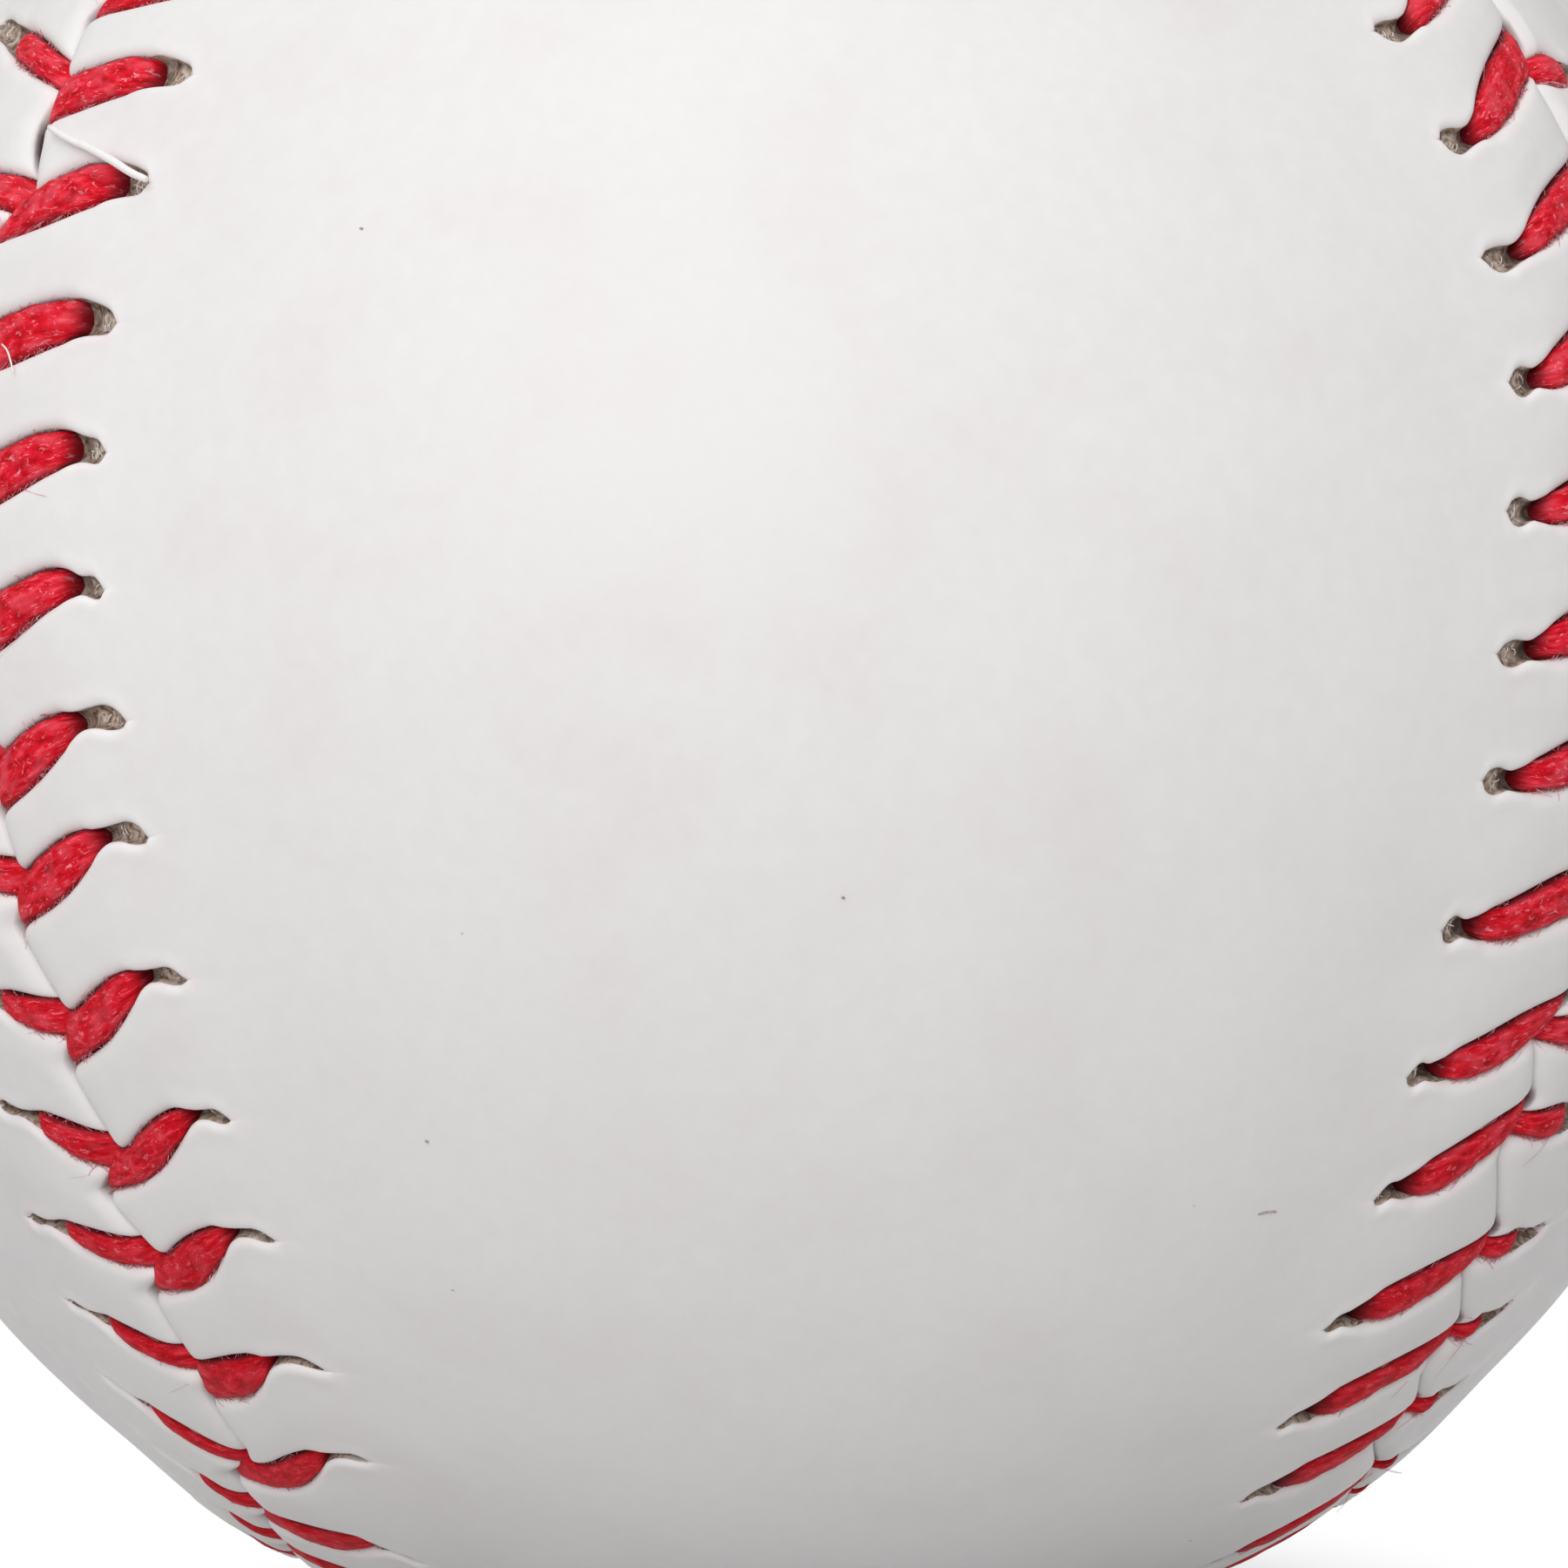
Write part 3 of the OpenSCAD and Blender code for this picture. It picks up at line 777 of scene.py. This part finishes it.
def thread_shade(run, angle):
    """Painted shade in the thread: along both rims, more on the upper one, and at the slot where the thread
    goes in.
    """
    swing = np.cos(angle_at(np.arange(STITCHES)))[:, None, None]
    side_on = np.cos(angle)[None, None, :] * np.ones_like(run)[..., None]
    rim = smooth((np.abs(side_on) - 0.72) / 0.28)
    # The upper rim gets more painted shadow, as the light falls from above.
    upper = np.where(side_on * -swing > 0, 1.0, 0.6)
    gloom = SHAPES[1]["gloom"][:, None, None]
    # Painted shade where the thread goes into the slot, reaching further on the stitches with more gloom.
    end = 1 - smooth((run[..., None] / MM - 0.55 - 0.25 * gloom) / (0.6 + 0.4 * gloom))
    return np.clip(np.maximum(0.9 * rim * upper, end * (0.8 + 0.2 * gloom)), 0, 1)


def tube_faces(count, rings, sides):
    """Faces of that many tubes, closed at both ends, whose points go round each ring in turn."""
    faces = []
    for tube in range(count):
        base = tube * rings * sides
        for k in range(rings - 1):
            low = base + k * sides
            for a in range(sides):
                b = (a + 1) % sides
                faces.append((low + a, low + b, low + sides + b, low + sides + a))
        last = base + (rings - 1) * sides
        faces.append(tuple(base + a for a in reversed(range(sides))))
        faces.append(tuple(last + a for a in range(sides)))
    return faces


def thread_mesh(side):
    """Points and faces of one row of thread legs, and the frames that they were made from."""
    rng = np.random.default_rng(SEED + 10 + side)
    centers, wides, deeps, run = leg_frames(side)
    angle = np.arange(LEG_SIDES) * 2 * math.pi / LEG_SIDES
    cos = np.sign(np.cos(angle)) * np.abs(np.cos(angle)) ** LEG_BOX
    sin = np.sign(np.sin(angle)) * np.abs(np.sin(angle)) ** LEG_BOX
    swell = 1 + thread_noise(rng, run, angle[None, None, :])
    offset = wides[:, :, None] * cos[:, None] + deeps[:, :, None] * sin[:, None]
    points = centers[:, :, None] + offset * swell[..., None] * LEG_SHRINK
    faces = tube_faces(STITCHES, LEG_RINGS, LEG_SIDES)
    return points.reshape(-1, 3), faces, (centers, wides, deeps, run, angle)


def signed_volume(points, faces):
    total = 0
    for face in faces:
        a = points[face[0]]
        for k in range(1, len(face) - 1):
            total += np.dot(a, np.cross(points[face[k]], points[face[k + 1]]))
    return total


def read_numbers(items, name):
    numbers = np.zeros(len(items), dtype=np.int32)
    items.foreach_get(name, numbers)
    return numbers


def fibre_uv(mesh, run):
    """Lengths in millimetres along and round each leg, for the thread's material."""
    layer = mesh.uv_layers.new(name="fibre")
    leg, rest = np.divmod(read_numbers(mesh.loops, "vertex_index"), LEG_RINGS * LEG_SIDES)
    ring, side = rest // LEG_SIDES, (rest % LEG_SIDES).astype(float)
    faces = mesh.polygons
    for s, n in zip(read_numbers(faces, "loop_start"), read_numbers(faces, "loop_total")):
        part = side[s:s + n]
        if n == 4 and part.max() - part.min() > LEG_SIDES / 2:
            part[part == 0] = LEG_SIDES
    along = run[leg, ring] / MM
    around = side / LEG_SIDES * LEG_GIRTH
    uv = np.stack([along + leg * LEG_STEP, around + 0.1 * along], axis=1)
    layer.data.foreach_set("uv", uv.astype(np.float32).ravel())


def make_thread(side, name, node):
    points, faces, frames = thread_mesh(side)
    if signed_volume(points, faces[:(LEG_RINGS - 1) * LEG_SIDES + 2]) < 0:
        faces = [f[::-1] for f in faces]
    piece = new_object(name, points, faces, [MATERIALS["red_thread"]])
    run, angle = frames[3:]
    fibre_uv(piece.data, run)
    set_mark(piece.data, "shade", thread_shade(run, angle).ravel())
    # How much painted light the thread gets: more high on the ball.
    set_mark(piece.data, "painted_top_light", np.repeat(SHAPES[side]["painted_top_light"], LEG_RINGS * LEG_SIDES))
    finish_piece(piece, node)
    return frames


# Loose fibres

def make_tubes(name, paths, radii, sides, material):
    """A piece of thin tubes. paths is (tube, point, 3), radii is (tube, point)."""
    ahead = unit(np.gradient(paths, axis=1))
    # Off the ball's middle, so that it never lies along a tube
    up = unit(paths + np.array([0.013, 0.007, 0.011]))
    right = unit(np.cross(ahead, up))
    over = np.cross(right, ahead)
    angle = np.arange(sides) * 2 * math.pi / sides
    ring = right[:, :, None] * np.cos(angle)[:, None] + over[:, :, None] * np.sin(angle)[:, None]
    points = (paths[:, :, None] + ring * radii[:, :, None, None]).reshape(-1, 3)
    faces = tube_faces(*paths.shape[:2], sides)
    finish_piece(new_object(name, points, faces, [MATERIALS[material]]))


FUZZ_PER_LEG = 70
FUZZ_SIDES = 3
FUZZ_R = 0.013 * MM
SLOT_FIBRES = 6
SLOT_FIBRE_SIDES = 4
SLOT_FIBRE_R = 0.028 * MM
FIBRE_POINTS = 6


def make_fuzz(side, name, frames):
    """Fine fibres that stand off the edges of the thread legs and lie on the leather."""
    rng = np.random.default_rng(SEED + 20 + side)
    centers, wides, deeps = frames[:3]
    total = STITCHES * FUZZ_PER_LEG
    leg = np.repeat(np.arange(STITCHES), FUZZ_PER_LEG)
    ring = rng.integers(8, LEG_RINGS - 7, total)
    lower = np.where(np.cos(angle_at(leg)) > 0, 1.0, -1.0)
    edge = np.where(rng.random(total) < 0.8, lower, -lower)
    center, wide, deep = centers[leg, ring], wides[leg, ring], deeps[leg, ring]
    ahead = unit(centers[leg, ring + 1] - center) * rng.choice([-1, 1], total)[:, None]
    start = center + wide * edge[:, None] * rng.uniform(0.75, 0.95, total)[:, None] + deep * 0.35
    outward = unit(wide) * edge[:, None]
    up = unit(center)
    length = rng.gamma(2.2, 0.15, total) * MM + 0.12 * MM
    lean = rng.uniform(0.2, 1.3, total)
    rise = rng.uniform(0.0, 0.5, total)
    curl = rng.normal(0, 0.5, total)
    t = np.linspace(0, 1, FIBRE_POINTS)[None, :, None]
    reach = length[:, None, None]
    paths = (start[:, None] + outward[:, None] * reach * t * 0.8
             + ahead[:, None] * reach * (lean[:, None, None] * t + curl[:, None, None] * t * t)
             + up[:, None] * reach * (rise[:, None, None] * t - 0.45 * t * t))
    radii = FUZZ_R * (1 - 0.6 * t[..., 0]) * rng.uniform(0.7, 1.3, total)[:, None]
    make_tubes(name, paths, radii, FUZZ_SIDES, "thread_fuzz")


def make_slot_fibres(side, name):
    """Cream fibres of torn leather in the needle slots."""
    rng = np.random.default_rng(SEED + 30 + side)
    shape = SHAPES[side]
    total = STITCHES * SLOT_FIBRES
    stitch = np.repeat(np.arange(STITCHES), SLOT_FIBRES)
    q = rng.uniform(0.3, 0.85, total)
    d = shape["near"][stitch] + q * shape["slot"][stitch]
    half = SLOT_HALF_W * shape["open"][stitch] * np.sqrt(1 - q ** 4)
    across = rng.uniform(-1, 1, (total, 2)) * half[:, None] * 0.9
    slide = rng.normal(0, 0.16, total) * MM
    t = np.linspace(0, 1, FIBRE_POINTS)[None, :]
    u = d / (shape["near"] + shape["slot"])[stitch]
    at_seam = (shape["fore"] + shape["aft"])[stitch] / 2 / PITCH
    middle = TIPS[stitch] + at_seam * (1 - u) + shape["lead"][stitch] * u
    middle = middle + shape["hook"][stitch] / PITCH * np.sin(math.pi * u ** HOOK_POWER)
    s = middle[:, None] + (across[:, :1] * (1 - t) + across[:, 1:] * t) / PITCH
    depth = (-0.28 + 0.1 * q[:, None] + rng.uniform(-0.06, 0.06, total)[:, None]) * MM
    h = depth + 0.1 * MM * np.sin(math.pi * t)
    paths = skin(s, d[:, None] + slide[:, None] * t, h, side)
    radii = np.broadcast_to(SLOT_FIBRE_R * (1 - 0.5 * t), paths.shape[:2])
    make_tubes(name, paths, radii, SLOT_FIBRE_SIDES, "cream_fibre")


# Loose bits in the photograph
LOOSE_POINTS = 24
LOOSE_SIDES = 8
LOOSE_THREAD_PX = ((57, 146), (78, 159), (102, 170), (128, 184), (150, 198), (168, 206))
FINE_FIBRE_PX = ((2, 395), (8, 402), (12, 414), (15, 428))
LINT_PX = ((1444, 1394), (1451, 1392), (1458, 1391), (1465, 1391))
SPECKS_PX = ((415, 262), (520, 1480), (490, 1310), (968, 1030))


def make_loose_fibre(name, pixels, height, radius, material):
    """A fibre that lies over the ball at those places of the photograph."""
    path = smooth_path(np.array([on_ball(pixel, height) for pixel in pixels]), LOOSE_POINTS)
    t = np.linspace(0, 1, LOOSE_POINTS)
    radii = radius * (0.7 + 0.3 * np.sin(math.pi * t) ** 0.4)
    make_tubes(name, path[None], radii[None], LOOSE_SIDES, material)


def make_loose_bits():
    for name, pixels, height, radius, material in (
        ("loose_thread", LOOSE_THREAD_PX, 0.68 * MM, 0.14 * MM, "white_thread"),
        ("fine_fibre", FINE_FIBRE_PX, 0.6 * MM, 0.03 * MM, "white_thread"),
        ("lint", LINT_PX, 0.02 * MM, 0.04 * MM, "dust"),
    ):
        make_loose_fibre(name, pixels, height, radius, material)
    for number, (x, y) in enumerate(SPECKS_PX):
        make_loose_fibre("speck_" + str(number), ((x - 2, y), (x + 2, y + 1)), 0 * MM, 0.04 * MM, "dust")


# Materials

def connect(node, sources):
    for key, source in sources.items():
        node.id_data.links.new(source, node.inputs[key])


def node_adder(tree):
    """A function that adds a node to the tree, with its settings, values and sources."""
    def add(kind, values=None, sources=None, **settings):
        node = tree.nodes.new("ShaderNode" + kind)
        for key, value in settings.items():
            setattr(node, key, value)
        for key, value in (values or {}).items():
            node.inputs[key].default_value = value
        connect(node, sources or {})
        return node

    return add


def new_material(name, looks):
    """A material, its shader with those looks, and a function that adds a node to it."""
    material = bpy.data.materials.new(name)
    material.use_nodes = True
    shader = material.node_tree.nodes["Principled BSDF"]
    for key, value in looks.items():
        shader.inputs[key].default_value = value
    return material, shader, node_adder(material.node_tree)


def ramp(add, source, stops):
    """A colour ramp with its stops given as (place, colour)."""
    node = add("ValToRGB", sources={"Fac": source})
    elements = node.color_ramp.elements
    while len(elements) < len(stops):
        elements.new(0.5)
    for element, (at, colour) in zip(elements, stops):
        element.position = at
        element.color = (*colour, 1)
    return node.outputs["Color"]


def blend(add, factor, a, b, mode="MIX"):
    """Mix of two colours, each a node's output or a plain colour."""
    node = add("Mix", data_type="RGBA", blend_type=mode)
    for index, value in ((0, factor), (6, a), (7, b)):
        if isinstance(value, (int, float)):
            node.inputs[index].default_value = value
        elif isinstance(value, tuple):
            node.inputs[index].default_value = (*value, 1)
        else:
            connect(node, {index: value})
    return node.outputs[2]


def noise(add, size, detail, coords, **values):
    """Noise with features of about that size, in the unit of its coordinates."""
    settings = {"Scale": 1 / size, "Detail": detail, **values}
    return add("TexNoise", settings, {"Vector": coords}).outputs["Fac"]


def cells(add, size, coords):
    """Distance from the middles of scattered cells of about that size in metres."""
    return add("TexVoronoi", {"Scale": 1 / size}, {"Vector": coords}).outputs["Distance"]


def mark(add, name):
    """The number that set_mark gave each point."""
    return add("Attribute", attribute_name=name).outputs["Fac"]


def mapped(add, coords, scale=(1, 1, 1), rotation=(0, 0, 0)):
    return add("Mapping", {"Scale": scale, "Rotation": rotation}, {"Vector": coords}).outputs["Vector"]


def combine(add, operation, a, b):
    return add("Math", sources={0: a, 1: b}, operation=operation).outputs[0]


def bump(add, height, distance, strength=1.0, after=None):
    sources = {"Height": height}
    if after is not None:
        sources["Normal"] = after
    return add("Bump", {"Strength": strength, "Distance": distance}, sources).outputs["Normal"]


def object_coords(add):
    return add("TexCoord").outputs["Object"]


LEATHER = (0.87, 0.862, 0.858)
BLACK = (0, 0, 0)
WHITE = (1, 1, 1)


def leather_material():
    """Slow tones and a fine mottle, a pink stain and a painted highlight round the threads and slots, rare
    specks, a dark seam line and painted shade.
    """
    looks = {"Roughness": 0.5, "Specular IOR Level": 0.3}
    material, shader, add = new_material("cover_leather", looks)
    coords = object_coords(add)
    tone = noise(add, 5 * MM, 4, coords)
    colour = ramp(add, tone, [(0.3, (0.845, 0.83, 0.825)), (0.5, LEATHER), (0.72, (0.872, 0.874, 0.866))])
    mottle = noise(add, 0.7 * MM, 5, coords)
    mottled = ramp(add, mottle, [(0.3, (0.95, 0.945, 0.94)), (0.7, WHITE)])
    colour = blend(add, 0.5, colour, mottled, "MULTIPLY")
    # On the rims: a pink stain from the thread, and a painted highlight paler than the leather.
    rim = mark(add, "rim")
    patches = noise(add, 1.1 * MM, 3, coords)
    tint = ramp(add, patches, [(0.45, (0.96, 0.95, 0.945)), (0.72, (0.95, 0.82, 0.84))])
    colour = blend(add, rim, colour, tint)
    dots = ramp(add, cells(add, 5 * MM, coords), [(0.007, (0.4, 0.38, 0.37)), (0.013, WHITE)])
    colour = blend(add, 0.8, colour, dots, "MULTIPLY")
    # A dark seam line, and painted shade where the seam opens, in the pits and down the seam wall.
    colour = blend(add, mark(add, "seam_line_and_shade"), colour, (0.07, 0.03, 0.028))
    grain = noise(add, 0.16 * MM, 4, coords)
    pores = cells(add, 0.34 * MM, coords)
    wrinkles = noise(add, 1.6 * MM, 5, coords, Distortion=0.8)
    normal = bump(add, wrinkles, 0.03 * MM, 0.5)
    normal = bump(add, pores, 0.006 * MM, 0.5, normal)
    normal = bump(add, grain, 0.008 * MM, 0.6, normal)
    rough = ramp(add, mottle, [(0.3, (0.42, 0.42, 0.42)), (0.7, (0.58, 0.58, 0.58))])
    connect(shader, {"Base Color": colour, "Normal": normal, "Roughness": rough})
    return material


def raw_leather_material():
    """The fibrous inside of the leather, seen in the needle slots."""
    looks = {"Roughness": 0.9, "Specular IOR Level": 0.1}
    material, shader, add = new_material("raw_leather", looks)
    coords = object_coords(add)
    fibres = noise(add, 0.36 * MM, 3, coords, Distortion=1.5)
    tones = [(0.34, (0.2, 0.13, 0.1)), (0.48, (0.46, 0.35, 0.28)), (0.66, (0.74, 0.64, 0.56))]
    colour = ramp(add, fibres, tones)
    # Painted shade in the pit: where the thread goes in, and on its walls.
    colour = blend(add, mark(add, "seam_line_and_shade"), colour, (0.03, 0.014, 0.01))
    connect(shader, {"Base Color": colour, "Normal": bump(add, fibres, 0.08 * MM)})
    return material


def thread_material():
    """Strands along the leg, pale curls that cross them and pale patches; painted light, brighter high on
    the ball and darker low down; and painted shade.
    """
    sheen = {"Sheen Weight": 0.04, "Sheen Roughness": 0.5, "Sheen Tint": (1, 0.5, 0.55, 1)}
    looks = {"Roughness": 0.62, "Specular IOR Level": 0.1, **sheen}
    material, shader, add = new_material("red_thread", looks)
    uv = add("UVMap", uv_map="fibre").outputs["UV"]
    strands = noise(add, 1, 4, mapped(add, uv, (1.4, 5.5, 1.0)), Roughness=0.6)
    wound = mapped(add, uv, (1.5, 4.4, 1.0), (0, 0, 0.4))
    curls = noise(add, 1 / 2.2, 4, wound, Roughness=0.6, Distortion=1.0)
    colour = ramp(add, strands, [
        (0.33, (0.38, 0.001, 0.006)), (0.45, (0.64, 0.003, 0.013)), (0.56, (0.8, 0.01, 0.03)),
        (0.68, (0.93, 0.07, 0.1)),
    ])
    patches = noise(add, 1, 2, mapped(add, uv, (1.1, 2.2, 1.0)))
    # Painted light: low on the ball the thread is painted darker and its pale patches and curls weaker.
    painted_top_light = mark(add, "painted_top_light")
    colour = blend(add, 1.0, colour, blend(add, painted_top_light, (0.78, 0.45, 0.5), WHITE), "MULTIPLY")
    pale_patches = ramp(add, patches, [(0.47, BLACK), (0.66, (0.4, 0.4, 0.4))])
    colour = blend(add, blend(add, 1.0, pale_patches, painted_top_light, "MULTIPLY"), colour, (0.93, 0.13, 0.18))
    flecks = ramp(add, curls, [(0.58, BLACK), (0.7, WHITE)])
    colour = blend(add, blend(add, 1.0, flecks, painted_top_light, "MULTIPLY"), colour, (0.96, 0.3, 0.36))
    # Painted shade from the shade mark: dark rims, and a dark end where the thread goes into the slot.
    colour = blend(add, mark(add, "shade"), colour, (0.045, 0.004, 0.006))
    normal = bump(add, strands, 0.05 * MM, 0.7)
    normal = bump(add, curls, 0.03 * MM, 0.6, normal)
    connect(shader, {"Base Color": colour, "Normal": normal})
    return material


def mottled_material(name, size, dark, pale, roughness, depth, distortion=0.0):
    """Two tones with bump: the look of a rubber, the cork, the cement or a fibre."""
    material, shader, add = new_material(name, {"Roughness": roughness})
    grain = noise(add, size, 4, object_coords(add), Distortion=distortion)
    colour = ramp(add, grain, [(0.35, dark), (0.65, pale)])
    connect(shader, {"Base Color": colour, "Normal": bump(add, grain, depth)})
    return material


def yarn_material(name, dark, pale):
    """Wound yarn: fine waves that cross each other at a slant."""
    material, shader, add = new_material(name, {"Roughness": 0.9})
    coords = object_coords(add)
    turns = []
    for angle in (0.5, -0.9):
        turned = mapped(add, coords, rotation=(angle, angle, 0))
        waves = {"Scale": 1 / (6 * MM), "Distortion": 2.0, "Detail": 2}
        turns.append(add("TexWave", waves, {"Vector": turned}).outputs["Fac"])
    woven = combine(add, "MAXIMUM", *turns)
    colour = ramp(add, woven, [(0.2, dark), (0.8, pale)])
    connect(shader, {"Base Color": colour, "Normal": bump(add, woven, 0.3 * MM)})
    return material


# Size of the mottling, dark tone, pale tone, roughness, depth of the bumps, and any distortion
MOTTLED = {
    "thread_fuzz": (0.4 * MM, (0.62, 0.06, 0.09), (0.9, 0.5, 0.53), 0.7, 0.01 * MM),
    "white_thread": (0.3 * MM, (0.93, 0.92, 0.91), (0.98, 0.98, 0.97), 0.6, 0.01 * MM),
    "cream_fibre": (0.3 * MM, (0.66, 0.6, 0.52), (0.88, 0.85, 0.8), 0.75, 0.01 * MM),
    "dust": (0.3 * MM, (0.33, 0.27, 0.26), (0.5, 0.43, 0.41), 0.9, 0.01 * MM),
    "cork": (0.9 * MM, (0.36, 0.2, 0.1), (0.66, 0.45, 0.27), 0.85, 0.2 * MM, 1.0),
    "black_rubber": (0.5 * MM, (0.02, 0.02, 0.02), (0.045, 0.045, 0.045), 0.6, 0.03 * MM),
    "red_rubber": (0.5 * MM, (0.4, 0.05, 0.035), (0.52, 0.08, 0.055), 0.55, 0.03 * MM),
    "gasket_rubber": (0.5 * MM, (0.55, 0.1, 0.08), (0.66, 0.14, 0.11), 0.6, 0.03 * MM),
    "cement": (2 * MM, (0.7, 0.63, 0.45), (0.84, 0.79, 0.62), 0.35, 0.06 * MM),
}

# Dark tone and pale tone
YARNS = {
    "grey_wool": ((0.22, 0.215, 0.21), (0.46, 0.45, 0.44)),
    "white_wool": ((0.6, 0.58, 0.53), (0.84, 0.82, 0.77)),
    "cotton_yarn": ((0.68, 0.67, 0.62), (0.88, 0.87, 0.83)),
}


def make_materials():
    materials = {
        "cover_leather": leather_material(),
        "raw_leather": raw_leather_material(),
        "red_thread": thread_material(),
    }
    for name, look in MOTTLED.items():
        materials[name] = mottled_material(name, *look)
    for name, tones in YARNS.items():
        materials[name] = yarn_material(name, *tones)
    return materials


# Pieces and stage

def finish_piece(piece, node=None):
    if node:
        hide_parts(node)
    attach(piece, BODY)


def dress_cad_nodes():
    """Every CAD node that stays gets the procedural material of its slot."""
    slots = {part["node"]: part["material_slot"] for part in frame["record"]["subparts"]}
    for name, node in frame["nodes"].items():
        node.data.materials.clear()
        node.data.materials.append(MATERIALS[slots[name]])


FLOOR_SIZE = 3.0
FLOOR_GAP = 0.02 * MM
CONTACT_INNER = 8 * MM
CONTACT_OUTER = 30 * MM
CONTACT_WHITE = 0.35
FLOOR_GREY = (0.59, 0.59, 0.59, 1)


def floor_material():
    """Pale floor: white to the camera away from the ball, with the ball's shadow where it rests. It is
    clear from below."""
    looks = {"Roughness": 0.9, "Base Color": FLOOR_GREY, "Specular IOR Level": 0.0}
    material, shader, add = new_material("floor", looks)
    path = add("LightPath").outputs
    seen = combine(add, "MAXIMUM", path["Is Camera Ray"], path["Is Glossy Ray"])
    seen = combine(add, "MAXIMUM", seen, path["Is Transmission Ray"])
    away = add("VectorMath", sources={0: object_coords(add)}, operation="LENGTH").outputs["Value"]
    reach = {"From Min": CONTACT_INNER, "From Max": CONTACT_OUTER, "To Min": CONTACT_WHITE, "To Max": 1.0}
    far = add("MapRange", reach, {"Value": away}, interpolation_type="SMOOTHSTEP").outputs["Result"]
    share = combine(add, "MULTIPLY", seen, far)
    glow = add("Emission", {"Color": (1, 1, 1, 1), "Strength": 1.0})
    mixed = add("MixShader", sources={0: share, 1: shader.outputs["BSDF"], 2: glow.outputs["Emission"]})
    clear = add("BsdfTransparent")
    under = add("NewGeometry").outputs["Backfacing"]
    whole = add("MixShader", sources={0: under, 1: mixed.outputs[0], 2: clear.outputs[0]})
    connect(material.node_tree.nodes["Material Output"], {"Surface": whole.outputs[0]})
    return material


def make_floor():
    half = FLOOR_SIZE / 2
    corners = np.array([(-half, -half, 0), (half, -half, 0), (half, half, 0), (-half, half, 0)])
    floor = new_object("floor", corners, [(0, 1, 2, 3)], [floor_material()])
    floor.location.z = -BALL_R - FLOOR_GAP


WORLD_LIGHT = 0.503


def make_world():
    """White to the camera, and a softer even light on the ball."""
    world = bpy.data.worlds.new("studio")
    bpy.context.scene.world = world
    world.use_nodes = True
    world.node_tree.nodes.clear()
    add = node_adder(world.node_tree)
    path = add("LightPath").outputs
    mix = {0: combine(add, "MAXIMUM", path["Is Camera Ray"], path["Is Transmission Ray"])}
    for index, strength in ((1, WORLD_LIGHT), (2, 1.0)):
        mix[index] = add("Background", {"Color": (1, 1, 1, 1), "Strength": strength}).outputs[0]
    add("OutputWorld", sources={"Surface": add("MixShader", sources=mix).outputs[0]})


def make_lamp(name, location, size, power, colour):
    """A round soft lamp that faces the middle of the ball."""
    data = bpy.data.lights.new(name, "AREA")
    data.shape = "DISK"
    data.size = size
    data.energy = power
    data.color = colour
    lamp = link_object(name, data)
    lamp.location = location
    lamp.rotation_mode = "QUATERNION"
    lamp.rotation_quaternion = (-Vector(location)).to_track_quat("-Z", "Y")


def make_lamps():
    make_lamp("top_softbox", (-0.08, -0.27, 0.75), size=0.6, power=1.24, colour=WHITE)
    make_lamp("front_softbox", (-0.17, -0.76, 0.34), size=0.5, power=2.92, colour=(1, 0.965, 0.967))


make_camera()
MATERIALS = make_materials()
dress_cad_nodes()
make_panel(1, "cover_panel_a_leather", "cover_panel_a")
make_panel(-1, "cover_panel_b_leather", "cover_panel_b")
for row_side, letter in ((1, "a"), (-1, "b")):
    row_frames = make_thread(row_side, "thread_row_" + letter, "stitches_" + letter)
    make_fuzz(row_side, "thread_fuzz_" + letter, row_frames)
    make_slot_fibres(row_side, "slot_fibres_" + letter)
make_loose_bits()
make_floor()
make_world()
make_lamps()
bpy.context.scene.view_settings.view_transform = "Standard"
